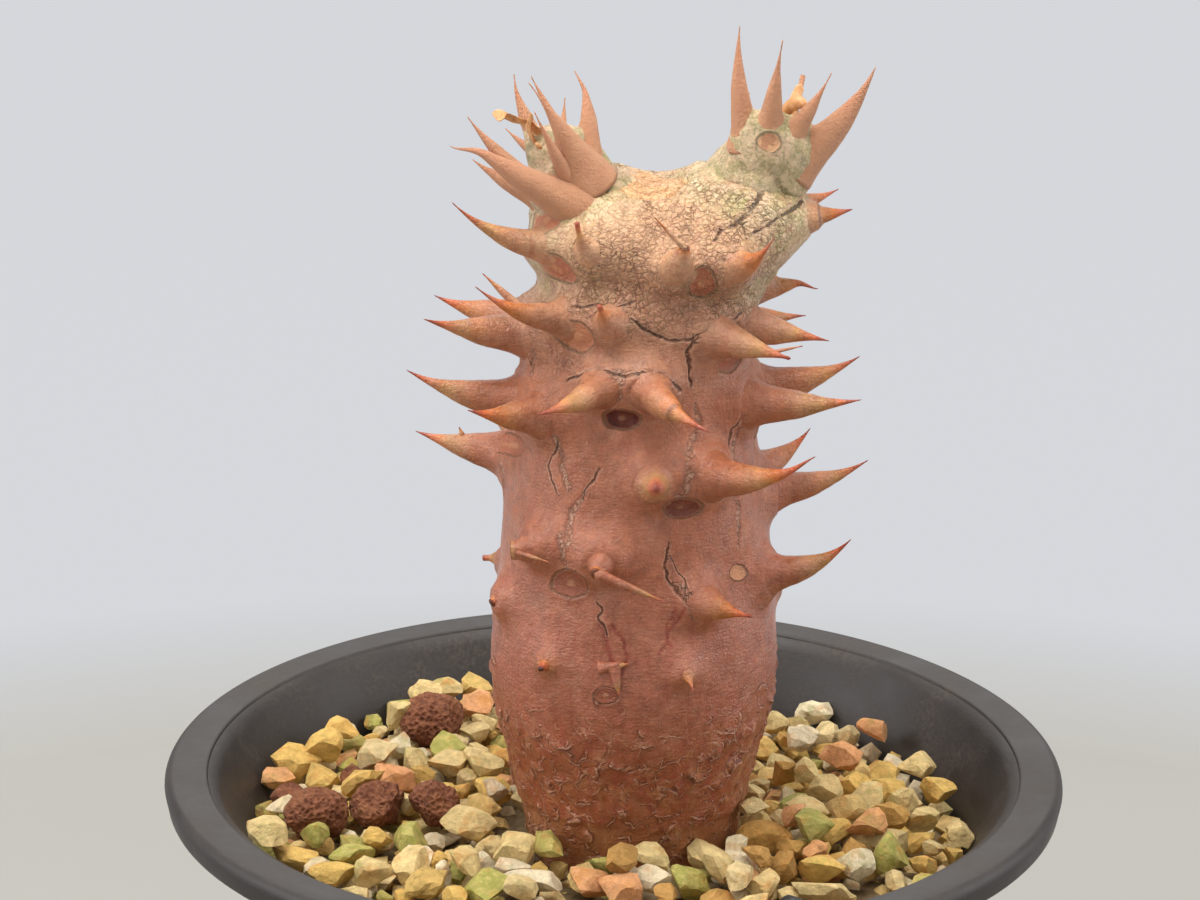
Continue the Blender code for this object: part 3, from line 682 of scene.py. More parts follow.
def addFlakes(angle, height, radius, places, out, marks):
    for middle, level, size, start, length, strength in flakes:
        near = np.flatnonzero((np.abs(turnFrom(angle, middle)) * 14 < 3) & (np.abs(height - level) < 3))
        across = turnFrom(angle[near], middle) * radius[near]
        up = height[near] - level
        bend = np.arctan2(up, across * 0.7)
        signed = np.hypot(across * 0.8, up) - size + 0.35 * lumps(places[near], 0.8, 9)
        arc = 1 - smoothRise(np.abs(turnFrom(bend, start)), length * 0.6, length)
        edge = np.exp(-(signed / 0.19) ** 2) * arc * strength
        curl = np.exp(-((signed + 0.22) / 0.3) ** 2) * arc * strength       # the flake's own skin, inside its edge
        out[near] += relief["flakeRise"] * (0.6 * edge + 0.6 * curl)
        keepNearest(marks, "flake", near, np.abs(signed) + 1.5 * (1 - arc * strength), signed)


def bareRelief(angle, height, radius, places):          # the swellings alone
    out = 0.22 * lumps(places, 6.5, 15) + 0.08 * manyLumps(places, 2.2, 16)
    addMounds(angle, height, radius, out)
    return out


def barkRelief(angle, height):                          # outward relief of the bark and the marks of its colours
    radius = easedCurve(stem["outline"], height)
    places = stemPlaces(angle, height, radius)
    out = bareRelief(angle, height, radius, places)
    marks = {}
    for kind in ("dark", "pale", "red", "flake"):
        marks[kind + "Gap"] = np.full(len(angle), 4.0)
        marks[kind + "Side"] = np.full(len(angle), 4.0)
    marks["scarAway"] = np.full(len(angle), 4.0)
    marks.update({name: np.zeros(len(angle)) for name in ("scarDark", "scarPale")})
    addScars(angle, height, radius, places, out, marks)
    addCracks(angle, height, places, out, marks)
    addFlakes(angle, height, radius, places, out, marks)
    # crazed net of cracks near the crown
    warp = 0.35 * np.stack([lumps(places, 1.3, seed) for seed in (20, 21, 22)], axis=1)
    net, number = cellNet(places + warp, relief["netSize"], 30)
    region = smoothRise(height + 3.0 * lumps(places, 6.0, 24), 139, 147)
    region = region * (0.45 + 0.55 * smoothRise(lumps(places, 5.0, 25), -0.35, 0.2))
    out += (-relief["netDepth"] * np.exp(-(net / 0.11) ** 2) + 0.06 * (number - 0.5)) * region
    marks["craze"] = region
    # wrinkles, and the rough skin of the foot
    foot = 1 - smoothRise(height, 94, 107)
    out += foot * (0.17 * manyLumps(places, (1.5, 1.5, 2.0), 12) + 0.06 * lumps(places, (0.7, 0.7, 2.4), 13))
    wrinkled = smoothRise(height, 98, 104) * (1 - smoothRise(height, 112, 124))
    out += relief["wrinkle"] * wrinkled * manyLumps(places, (1.8, 1.8, 0.42), 14)
    ledge = height - 87.6 + 0.8 * lumps(places, 5.0, 26)                 # old soil line above the gravel
    out += 0.22 * smoothRise(ledge, -0.5, 0.3)
    marks["foot"] = foot
    marks["soil"] = 1 - smoothRise(ledge, -0.6, 0.5)
    # scar of the old growing tip, with rings in it
    tip = stemPlaces(np.array([apex[0]]), np.array([apex[1]]), easedCurve(stem["outline"], np.array([apex[1]])))[0]
    away = np.hypot((places[:, 0] - tip[0]) / 4.2, (places[:, 1] - tip[1] - 1.5) / 4.2) + 0.1 * lumps(places, 1.5, 17)
    flat = (1 - smoothRise(away, 0.92, 1.05)) * smoothRise(height, 156, 158)
    rings = np.sin(away * 26 + 2.0 * lumps(places, 2.0, 18))
    out += flat * (0.07 * rings - 0.15) + 0.15 * np.exp(-((away - 1.08) / 0.08) ** 2) * smoothRise(height, 156, 158)
    marks["tipAway"] = np.where(height > 155, np.minimum(away, 3.0), 3.0)
    marks["wool"] = smoothRise(height + 1.6 * lumps(places, 3.0, 19), 156.5, 160.5) * (1 - flat)
    return out, marks


# Solids that grow out of the stem: each is a bent line with a radius at every step


def growSpine(foot, outward, tip, habit):
    reach = tip - foot
    length = np.linalg.norm(reach)
    thick = habit.get("thick", min(2.85, 1.0 + 0.15 * length))
    start = foot - outward * 2.0
    bend = foot + outward * length * 0.42 + reach * 0.12
    t = np.linspace(0, 1, 49)[:, None]
    line = start * (1 - t) ** 2 + bend * 2 * t * (1 - t) + tip * t * t
    sideways = np.cross(outward, [0, 0, 1.0])
    sideways /= np.linalg.norm(sideways)
    if "hook" in habit:
        side, out, up = habit["hook"]
        push = smoothRise(t, 0.72, 1.0) ** 1.5
        line = line + push * (-sideways * side + outward * out + np.array([0, 0, up]))
    t = t[:, 0]
    full = habit.get("full", 0.95)
    radius = thick * (1 - t) ** full * (1 + 0.08 * np.sin(np.pi * t) + 0.16 * np.exp(-(t / 0.16) ** 2))
    if full > 0.7:
        radius = radius * (1 - 0.42 * smoothRise(t, 0.45, 0.95))         # drawn out to a needle
    if "ring" in habit:
        radius = radius * (1 - 0.22 * smoothRise(t, habit["ring"], habit["ring"] + 0.02))
        radius = radius * (1 - 0.12 * np.exp(-((t - habit["ring"]) / 0.012) ** 2))
    radius = np.maximum(radius, habit.get("blunt", 0.07))
    return {"line": line, "radius": radius, "t": t, "length": length, "reach": min(3.4, 1.25 * thick),
            "toneStart": habit.get("tone", 0.2), "habit": habit}


def spineDistance(spine, places):                       # distance to a spine's skin, and how far along it
    best = np.full(len(places), 99.0)
    along = np.zeros(len(places))
    for point, radius, t in zip(spine["line"], spine["radius"], spine["t"]):
        gap = np.linalg.norm(places - point, axis=1) - radius
        closer = gap < best
        best = np.where(closer, gap, best)
        along = np.where(closer, t, along)
    return best, along


def stemSpines():
    chance = random.Random(commonReach["seed"])
    spines = {}
    for pair, (middle, scar, spread) in pairs.items():
        amounts = [part + chance.uniform(-commonReach["spread"], commonReach["spread"])
                   for part in commonReach["reach"] * 2]
        usual = ((-amounts[0], amounts[1], amounts[2]), tuple(amounts[3:]))
        height = scar + spiral["aboveScar"]
        radius = float(easedCurve(stem["outline"], np.array([height]))[0])
        outward = np.array([math.sin(middle), -math.cos(middle), 0])
        sideways = np.array([math.cos(middle), math.sin(middle), 0])
        for side, reach in enumerate(spineReach.get(pair, usual)):
            angle = middle + (side * 2 - 1) * spread / 2 / radius
            foot = stemPlaces(np.array([angle]), np.array([height]), np.array([radius]))[0]
            away = np.array([math.sin(angle), -math.cos(angle), 0])
            tip = foot + sideways * reach[0] + outward * reach[1] + np.array([0, 0, reach[2]])
            spines[pair, side] = growSpine(foot, away, tip, spineHabit.get((pair, side), {}))
    return spines


# Shoots: foot and head of the middle line, and the radii of foot, waist and head
shoots = {
    "left_shoot": {"foot": (-0.4, -2.2, 151.5), "head": (-6.6, -1.4, 163.6), "radii": (6.0, 5.3, 3.4)},
    "right_shoot": {"foot": (10.6, -1.5, 151.0), "head": (17.0, -1.0, 164.6), "radii": (4.6, 6.0, 3.9)},
}

# Pairs of young spines. For each spine: pixel of the foot (or an earlier spine and a place along it), pixel and
# depth of the tip, radius at the foot, and how it differs
youngPairs = {
    "left_shoot": (
        (((573, 189), (534, 111), -8.0, 1.2, {}),
         ((586, 174), (528, 82), -6.0, 2.5, {"full": 1.4})),
        (((537, 196), (472, 159), -1.5, 1.7, {}),
         ((577, 210), (454, 134), -8.0, 2.4, {"full": 0.9, "hook": (-0.9, 0.2, -1.6)})),
        (((541, 158), (505, 128), 4.0, 0.9, {}),
         ((2, 1, 0.42), (467, 116), -7.0, 1.1, {})),
        (((1, 1, 0.5), (531, 76), -5.0, 0.55, {}),
         ((535, 140), (513, 77), 2.5, 1.2, {"hook": (-0.3, 0.2, 0.2)})),
        (((590, 160), (581, 74), 0.5, 1.5, {"full": 0.85, "hook": (0.8, 0, 0.4)}),
         ((562, 140), (565, 97), 4.5, 0.7, {})),
    ),
    "right_shoot": (
        (((769, 130), (783, 39), -5.0, 1.8, {"full": 1.35}),
         ((792, 136), (832, 72), -4.0, 1.7, {"full": 1.4})),
        (((752, 128), (749, 92), 6.0, 0.9, {}),
         ((744, 135), (740, 25), -1.0, 1.5, {"full": 0.9})),
        (((804, 160), (876, 66), -2.0, 2.3, {"full": 0.9}),
         ((3, 0, 0.72), (868, 84), -1.0, 0.5, {})),
        (((790, 122), (803, 75), 6.0, 0.8, {"blunt": 0.3}),
         ((775, 120), (776, 84), 7.0, 0.7, {})),
    ),
}
young = {"leanOut": 0.30, "leanTip": 0.70}


def shootAxes(shoot):                                   # direction, front and right side of a shoot
    run = np.array(shoot["head"]) - np.array(shoot["foot"])
    run /= np.linalg.norm(run)
    side = np.cross(run, [0, -1.0, 0])
    side /= np.linalg.norm(side)
    side = side if side[0] > 0 else -side
    front = np.cross(side, run)
    front = front if front[1] < 0 else -front
    return run, front, side


def shootRadius(shoot, along):
    foot, waist, head = shoot["radii"]
    return easedCurve(((0.0, foot), (0.5, waist), (1.0, head)), along)


def shootLine(shoot):                                   # the middle line and radii, with the round head
    foot = np.array(shoot["foot"])
    head = np.array(shoot["head"])
    t = np.linspace(0, 1, 41)
    return {"line": foot + (head - foot) * t[:, None], "radius": shootRadius(shoot, t), "t": t, "reach": 4.5}


def youngFoot(line, pixel, behind):                     # where a pixel's ray meets the shoot, and the way out
    eye, ray = pixelRay(pixel)
    path = eye + ray * np.arange(440, 480, 0.1)[:, None]
    gaps, along = spineDistance(line, path)
    inside = np.flatnonzero(gaps < 0.1)
    k = int(inside[-1 if behind else 0]) if len(inside) else int(np.argmin(gaps))
    core = line["line"][int(round(along[k] * (len(line["line"]) - 1)))]
    return path[k], (path[k] - core) / (np.linalg.norm(path[k] - core) + 1e-9)


def youngSpines(name):
    line = shootLines[name]
    grown = {}
    for number, pair in enumerate(youngPairs[name], start=1):
        for which, (foot, tipPixel, depth, thick, habit) in enumerate(pair):
            tip = atDepth(tipPixel, depth)
            if len(foot) == 3:
                carrier = grown[foot[0], foot[1]]
                base = carrier["line"][int(foot[2] * 48)]
                away = carrier["line"][-1] - base
                away = away / np.linalg.norm(away)
            else:
                base, away = youngFoot(line, foot, depth > 2)
            lean = (tip - base) / np.linalg.norm(tip - base)
            outward = away * young["leanOut"] + lean * young["leanTip"]
            outward /= np.linalg.norm(outward)
            start = base + outward * 2.0 if len(foot) == 3 else base
            grown[number, which] = growSpine(start, outward, tip, {"thick": thick, **habit})
    return grown


spines = stemSpines()
shootLines = {name: shootLine(shoot) for name, shoot in shoots.items()}
youngs = {name: youngSpines(name) for name in shoots}
print("spines grown:", len(spines) + sum(len(group) for group in youngs.values()))


def bareDistance(places):                               # distance from the bark with its swellings
    angle, across = stemAngle(places)
    best = np.full(len(places), 9e9)
    gapOut = np.zeros(len(places))
    for k in range(0, len(outline["run"]), 2):
        radius = outline["radius"][k]
        height = outline["height"][k]
        gap = (across - radius) ** 2 + (places[:, 2] - height) ** 2
        offset = (across - radius) * outline["outRadius"][k] + (places[:, 2] - height) * outline["outHeight"][k]
        closer = gap < best
        best = np.where(closer, gap, best)
        gapOut = np.where(closer, offset, gapOut)
    height = np.minimum(places[:, 2], stem["peak"] - 0.01)
    radius = easedCurve(stem["outline"], height)
    return gapOut - bareRelief(angle, height, radius, stemPlaces(angle, height, radius))


def onSkin(pixel):                                      # where a pixel's ray meets the bark or a shoot
    eye, ray = pixelRay(pixel)
    path = eye + ray * np.arange(420, 500, 0.1)[:, None]
    gaps = bareDistance(path)
    for line in shootLines.values():
        gaps = np.minimum(gaps, spineDistance(line, path)[0])
    return path[int(np.argmax(gaps < 0.2))]


scarPlaces = shownScarPlaces()


def liftSkin(places, normals, others, cap):             # moves a skin out to where it meets the others smoothly
    lift = np.zeros(len(places))
    for _ in range(5):
        moved = places + normals * lift[:, None]
        total = lift.copy()
        for distance, near, reach in others:
            total[near] = softMin(total[near], distance(moved[near]), reach)
        lift = np.clip(lift - total, 0, cap)
    return places + normals * lift[:, None]


def hornTone(spine, places):                            # 0 at the foot, growing along a spine
    gap, along = spineDistance(spine, places)
    return smoothRise(along, spine["toneStart"], 1.1) * (1 - smoothRise(gap, 0.2, 1.6))


def makeStem():
    deepRows = stem["buriedRows"] / stem["rows"]
    buriedRun = np.interp(stem["buried"], outline["height"], outline["run"])

    def shape(u, v):
        angle = 2 * math.pi * u
        run = np.where(v < deepRows, v / deepRows * buriedRun,
                       buriedRun + (v - deepRows) / (1 - deepRows) * (outline["run"][-1] - buriedRun))
        radius = np.interp(run, outline["run"], outline["radius"])
        height = np.interp(run, outline["run"], outline["height"])
        places = stemPlaces(angle, height, radius)
        outRadius = np.interp(run, outline["run"], outline["outRadius"])
        outHeight = np.interp(run, outline["run"], outline["outHeight"])
        normals = np.stack([outRadius * np.sin(angle), -outRadius * np.cos(angle), outHeight], axis=1)
        out, marks = barkRelief(angle, height)
        out = out * smoothRise(radius, 0.0, 2.5)
        places = places + normals * out[:, None]
        others = []
        cap = np.zeros(len(places))
        tone = np.zeros(len(places))
        felt = np.zeros(len(places))
        grown = list(spines.values()) + list(shootLines.values())
        for solid in grown:
            middle = solid["line"][8]
            near = np.flatnonzero(np.linalg.norm(places - middle, axis=1) < 10 + 1.5 * solid["reach"])
            gap, along = spineDistance(solid, places[near])
            if "habit" not in solid:
                felt[near] = np.maximum(felt[near], 1 - smoothRise(gap, 0.3, 5.0))
            near = near[(gap < solid["reach"] + 0.5) & (along < 0.9)]
            if not len(near):
                continue
            others.append((lambda spots, solid=solid: spineDistance(solid, spots)[0], near, solid["reach"]))
            cap[near] = np.maximum(cap[near], solid["reach"] * 0.3)
            if "habit" in solid:
                tone[near] = np.maximum(tone[near], hornTone(solid, places[near]))
        places = liftSkin(places, normals, others, cap)
        marks["tone"] = tone
        marks["felt"] = felt
        return places, marks

    return wrapGrid("stem_bark", stem["columns"], stem["rows"], shape)


def spineFrames(line):                                  # two directions square to the line, carried along it
    run = np.gradient(line, axis=0)
    run /= np.linalg.norm(run, axis=1)[:, None]
    across = np.cross(run[0], [0, 0, 1.0] if abs(run[0][2]) < 0.8 else [0, 1.0, 0])
    level = []
    for ahead in run:
        across = across - ahead * (across @ ahead)
        across = across / np.linalg.norm(across)
        level.append(across)
    level = np.array(level)
    return level, np.cross(level, run)


spineMesh = {"sides": 26, "rows": 44, "roughness": 0.05, "ridge": 0.03, "inside": 0.02}


def makeSpine(name, spine, bases, seed, sides=spineMesh["sides"], rows=spineMesh["rows"]):
    level, rise = spineFrames(spine["line"])

    def pick(values, t):
        return np.stack([np.interp(t, spine["t"], values[:, k]) for k in range(3)], axis=1)

    def shape(u, v):
        t = np.clip(v, 0, 1)
        middle = pick(spine["line"], t)
        across = pick(level, t)
        over = pick(rise, t)
        angle = 2 * math.pi * u
        away = across * np.cos(angle)[:, None] + over * np.sin(angle)[:, None]
        radius = np.interp(t, spine["t"], spine["radius"])
        soft = np.minimum(1, radius / 1.2)
        spot = middle + away * radius[:, None]
        radius = radius + soft * (spineMesh["roughness"] * manyLumps(spot, 1.6, seed)
                                  + spineMesh["ridge"] * lumps(spot, (0.5, 0.5, 3.0), seed + 3))
        radius = np.where((v <= 0) | (v >= 1), 0, radius)
        places = middle + away * radius[:, None]
        near = np.flatnonzero((t < 0.55) & (v > 0))
        others = [(distance, near, reach) for distance, reach in bases]
        cap = np.where(v > 0, spine["reach"] * 0.3, 0)
        places = liftSkin(places, away, others, cap)
        marks = {"tone": smoothRise(t, spine["toneStart"], 1.1), "along": t}
        marks["ring"] = np.exp(-((t - spine["habit"]["ring"]) / 0.012) ** 2) if "ring" in spine["habit"] else 0 * t
        # the socket mark paints the shade of the hollow at a broken end
        marks["socket"] = smoothRise(t, 0.965, 0.99) if "socket" in spine["habit"] else 0 * t
        return places, marks

    return wrapGrid(name, sides, rows, shape)


# Bark, thorns and young skin share one way of building their finish

skinLook = {
    "heights": ((83, (0.33, 0.115, 0.042)), (88, (0.34, 0.105, 0.040)), (97, (0.35, 0.100, 0.043)),
                (106, (0.42, 0.145, 0.080)), (122, (0.40, 0.135, 0.065)), (138, (0.39, 0.135, 0.060)),
                (145, (0.44, 0.20, 0.105)), (151, (0.50, 0.255, 0.140)), (157, (0.60, 0.35, 0.185)),
                (161, (0.74, 0.46, 0.25))),
    "crack": (0.075, 0.030, 0.015),
    "craze": (0.20, 0.085, 0.042),
    "olive": (0.24, 0.19, 0.065),
    "scarDark": (0.13, 0.020, 0.010),
    "scar": (0.56, 0.18, 0.085),
    "scarPale": (0.86, 0.48, 0.24),
    "pale": (0.62, 0.37, 0.25),
    "red": (0.30, 0.045, 0.025),
    "flake": (0.62, 0.31, 0.19),
    "apex": (0.82, 0.46, 0.22),
    "cream": (0.74, 0.54, 0.32),
    "green": (0.33, 0.28, 0.085),
    "pink": (0.66, 0.38, 0.25),
    "horn": ((0.0, (0.42, 0.15, 0.07)), (0.3, (0.50, 0.19, 0.065)), (0.55, (0.55, 0.17, 0.036)),
             (0.78, (0.56, 0.12, 0.032)), (0.92, (0.34, 0.06, 0.025)), (1.0, (0.12, 0.035, 0.018))),
    "tanHorn": ((0.0, (0.44, 0.17, 0.085)), (0.3, (0.51, 0.25, 0.115)), (0.55, (0.50, 0.25, 0.085)),
                (0.78, (0.54, 0.15, 0.055)), (0.92, (0.36, 0.065, 0.032)), (1.0, (0.13, 0.038, 0.02))),
    "youngHorn": ((0.0, (0.66, 0.47, 0.27)), (0.25, (0.64, 0.40, 0.24)), (0.5, (0.62, 0.29, 0.17)),
                  (0.75, (0.50, 0.15, 0.10)), (1.0, (0.18, 0.055, 0.045))),
    # socket: painted shade for the hollow of a broken end
    "socket": (0.05, 0.015, 0.008),
    "roughness": (0.24, 0.44),
    "subsurface": 0.07,
}


def nearLine(tree, gap, start, end):                    # 1 on a line, 0 beyond its edge
    return rescale(tree, gap, start, end, 1.0, 0.0)


def addUp(tree, *values):
    total = values[0]
    for value in values[1:]:
        total = calc(tree, "ADD", total, value)
    return total


def times(tree, *values):
    total = values[0]
    for value in values[1:]:
        total = calc(tree, "MULTIPLY", total, value)
    return total


def grey(tree, value):                                  # a number as a colour
    return addNode(tree, "CombineXYZ", X=value, Y=value, Z=value).outputs[0]


def nudged(tree, place, size, amount):                  # the place, pushed about by noise
    noise = addNode(tree, "TexNoise", Vector=place, Scale=1 / (size * mm), Detail=2.0).outputs["Color"]
    return addNode(tree, "VectorMath", {"operation": "MULTIPLY_ADD"}, i0=noise, i1=(amount * mm,) * 3,
                   i2=place).outputs[0]


def cellLines(tree, place, size):                       # distance to the nearest line of a net, over the cell's size
    return addNode(tree, "TexVoronoi", {"feature": "DISTANCE_TO_EDGE"}, Vector=place,
                   Scale=1 / (size * mm)).outputs["Distance"]


def feltColour(tree, place, fine, speck):               # young skin: cream and green under short wool
    broad = noiseOf(tree, 2.6, place, 4.0, 0.6)
    colour = blendColour(tree, rescale(tree, broad, 0.42, 0.60, 0.0, 0.8), skinLook["cream"], skinLook["green"])
    blush = noiseOf(tree, 5.5, place, 3.0, 0.5)
    colour = blendColour(tree, rescale(tree, blush, 0.50, 0.64, 0.0, 0.65), colour, skinLook["pink"])
    colour = blendColour(tree, rescale(tree, speck, 0.50, 0.62, 0.0, 0.60), colour, (0.22, 0.19, 0.055))
    return blendColour(tree, rescale(tree, fine, 0.52, 0.68, 0.0, 0.65), colour, (0.86, 0.72, 0.50))


def hornColour(tree, place, tone, kind):
    if kind == "young":
        return colourRamp(tree, tone, skinLook["youngHorn"])
    tan = rescale(tree, noiseOf(tree, 9.0, place, 2.0), 0.44, 0.56)
    return blendColour(tree, tan, colourRamp(tree, tone, skinLook["horn"]), colourRamp(tree, tone, skinLook["tanHorn"]))


def crazedSkin(tree, place, colour, speck):             # leathery crown with fine lines: colour and bump
    craze = readMark(tree, "craze")
    cells = cellLines(tree, nudged(tree, place, 0.9, 0.9), 0.80)
    wide = nearLine(tree, cellLines(tree, nudged(tree, place, 1.6, 1.8), 1.6), 0.008, 0.040)
    small = nearLine(tree, cells, 0.012, 0.075)
    faint = rescale(tree, noiseOf(tree, 1.7, place, 3.0, 0.6), 0.38, 0.60, 0.25, 1.0)
    lines = times(tree, craze, calc(tree, "MAXIMUM", wide, times(tree, small, 0.8)), faint)
    region = rescale(tree, noiseOf(tree, 4.2, place, 3.0, 0.55), 0.50, 0.60)
    specks = times(tree, craze, region, rescale(tree, speck, 0.48, 0.60))
    colour = blendColour(tree, times(tree, specks, 0.55), colour, skinLook["olive"])
    colour = blendColour(tree, times(tree, lines, 0.85), colour, skinLook["craze"])
    domes = times(tree, craze, rescale(tree, cells, 0.0, 0.32))
    return colour, addUp(tree, times(tree, lines, -0.12), times(tree, domes, 0.10))


def peelingFoot(tree, place, colour, speck):            # orange skin with flakes and red streaks: colour and bump
    foot = readMark(tree, "foot")
    redPatch = rescale(tree, noiseOf(tree, 1.3, objectPlace(tree, (1.2, 1.2, 0.45)), 4.0, 0.6), 0.52, 0.66)
    colour = blendColour(tree, times(tree, foot, redPatch, 0.65), colour, (0.34, 0.065, 0.045))
    tanPatch = rescale(tree, noiseOf(tree, 2.1, place, 5.0, 0.65), 0.50, 0.66)
    colour = blendColour(tree, times(tree, foot, tanPatch, 0.5), colour, (0.54, 0.24, 0.11))
    colour = blendColour(tree, times(tree, readMark(tree, "soil"), 0.5), colour, (0.36, 0.15, 0.06))
    ragged = rescale(tree, speck, 0.3, 0.7, -0.08, 0.08)
    side = addUp(tree, readMark(tree, "flakeSide"), ragged)
    near = nearLine(tree, readMark(tree, "flakeGap"), 0.5, 1.0)
    flake = times(tree, nearLine(tree, calc(tree, "ABSOLUTE", side), 0.05, 0.15), near)
    # under: painted shadow in a band just beside each curled flake's edge
    under = times(tree, nearLine(tree, calc(tree, "ABSOLUTE", calc(tree, "SUBTRACT", side, 0.22)), 0.03, 0.14), near)
    edges = cellLines(tree, nudged(tree, objectPlace(tree, (1, 1, 0.8)), 1.1, 1.2), 2.3)     # angular scales of dead skin
    shown = times(tree, foot, rescale(tree, noiseOf(tree, 1.5, place, 2.0), 0.50, 0.58))
    # shadow: painted shadow in a thin line beside each scale edge
    scale = times(tree, nearLine(tree, edges, 0.025, 0.060), shown)
    shadow = times(tree, nearLine(tree, calc(tree, "ABSOLUTE", calc(tree, "SUBTRACT", edges, 0.085)), 0.012, 0.045),
                   shown)
    pale = calc(tree, "MAXIMUM", flake, times(tree, scale, 0.8))
    dark = calc(tree, "MAXIMUM", under, times(tree, shadow, 0.8))
    # this darkening is painted shadow of the flakes and scales
    colour = blendColour(tree, times(tree, dark, 0.65), colour, (0.13, 0.035, 0.018))
    colour = blendColour(tree, times(tree, pale, 0.80), colour, skinLook["flake"])
    return colour, addUp(tree, times(tree, pale, 0.14), times(tree, dark, -0.10), times(tree, foot, tanPatch, 0.06))


def splitSkin(tree, place, colour, speck):              # cracks and crusted fissures: colour and bump
    ragged = rescale(tree, speck, 0.25, 0.75, -1.0, 1.0)
    broken = rescale(tree, noiseOf(tree, 1.1, place, 3.0, 0.6), 0.38, 0.56)
    paleAway = calc(tree, "ABSOLUTE", addUp(tree, readMark(tree, "paleSide"), times(tree, ragged, 0.7)))
    paleNear = nearLine(tree, readMark(tree, "paleGap"), 0.55, 0.85)
    crust = times(tree, nearLine(tree, paleAway, 0.6, 1.2), paleNear)
    colour = blendColour(tree, times(tree, crust, broken, 0.55), colour, skinLook["pale"])
    chips = nearLine(tree, cellLines(tree, nudged(tree, place, 0.6, 0.6), 0.7), 0.02, 0.10)
    edge = nearLine(tree, calc(tree, "ABSOLUTE", calc(tree, "SUBTRACT", paleAway, 1.0)), 0.05, 0.30)
    fissure = calc(tree, "MAXIMUM", times(tree, chips, crust), times(tree, edge, broken, paleNear, 0.8))
    colour = blendColour(tree, times(tree, fissure, 0.7), colour, (0.17, 0.055, 0.030))
    redSide = calc(tree, "ABSOLUTE", addUp(tree, readMark(tree, "redSide"), times(tree, ragged, 0.7)))
    redLine = times(tree, nearLine(tree, redSide, 0.4, 1.2), nearLine(tree, readMark(tree, "redGap"), 0.4, 0.6))
    colour = blendColour(tree, times(tree, redLine, 0.65), colour, skinLook["red"])
    darkSide = calc(tree, "ABSOLUTE", addUp(tree, readMark(tree, "darkSide"), times(tree, ragged, 0.8)))
    darkNear = nearLine(tree, readMark(tree, "darkGap"), 0.35, 0.55)
    lip = times(tree, nearLine(tree, calc(tree, "ABSOLUTE", calc(tree, "SUBTRACT", darkSide, 1.7)), 0.2, 0.8), darkNear)
    colour = blendColour(tree, times(tree, lip, 0.35), colour, skinLook["pale"])
    darkLine = times(tree, nearLine(tree, darkSide, 0.45, 1.0), darkNear, rescale(tree, broken, 0.0, 0.5, 0.35, 1.0))
    colour = blendColour(tree, times(tree, darkLine, 0.85), colour, skinLook["crack"])
    bump = addUp(tree, times(tree, darkLine, -0.14), times(tree, fissure, -0.08), times(tree, crust, broken, 0.09))
    return colour, bump


def tipScar(tree, place, colour, patch):                # growing tip's scar
    tip = readMark(tree, "tipAway")
    ripple = calc(tree, "SINE", calc(tree, "MULTIPLY_ADD", tip, 22.0, times(tree, patch, 14.0)))
    inTip = nearLine(tree, tip, 0.86, 1.04)
    colour = blendColour(tree, times(tree, inTip, 0.8), colour, skinLook["apex"])
    thin = times(tree, inTip, rescale(tree, ripple, 0.75, 1.0))
    colour = blendColour(tree, times(tree, thin, 0.6), colour, (0.52, 0.20, 0.08))
    return colour, times(tree, thin, -0.06)


def leafScars(tree, place, colour, patch, fine):
    rough = rescale(tree, noiseOf(tree, 0.45, place, 3.0, 0.7), 0.25, 0.75, -0.06, 0.06)
    away = addUp(tree, readMark(tree, "scarAway"), rough)
    inScar = nearLine(tree, away, 0.88, 1.0)
    shade = rescale(tree, patch, 0.3, 0.7, 0.8, 1.15)
    colour = blendColour(tree, times(tree, inScar, 0.85), colour, skinLook["scar"])
    colour = blendColour(tree, times(tree, inScar, readMark(tree, "scarPale")), colour, skinLook["scarPale"])
    colour = blendColour(tree, times(tree, inScar, readMark(tree, "scarDark"), shade), colour, skinLook["scarDark"])
    core = times(tree, nearLine(tree, away, 0.16, 0.34), shade)
    colour = blendColour(tree, times(tree, core, 0.30), colour, skinLook["scarPale"])
    # rim: a darker ring in the crevice at the scar's edge, painted shade
    rim = nearLine(tree, calc(tree, "ABSOLUTE", calc(tree, "SUBTRACT", away, 1.06)), 0.02, 0.12)
    rim = times(tree, rim, shade, nearLine(tree, readMark(tree, "scarAway"), 1.6, 2.2))
    colour = blendColour(tree, times(tree, rim, 0.6), colour, (0.13, 0.075, 0.030))
    return colour, addUp(tree, times(tree, rim, -0.10), times(tree, inScar, fine, 0.12))


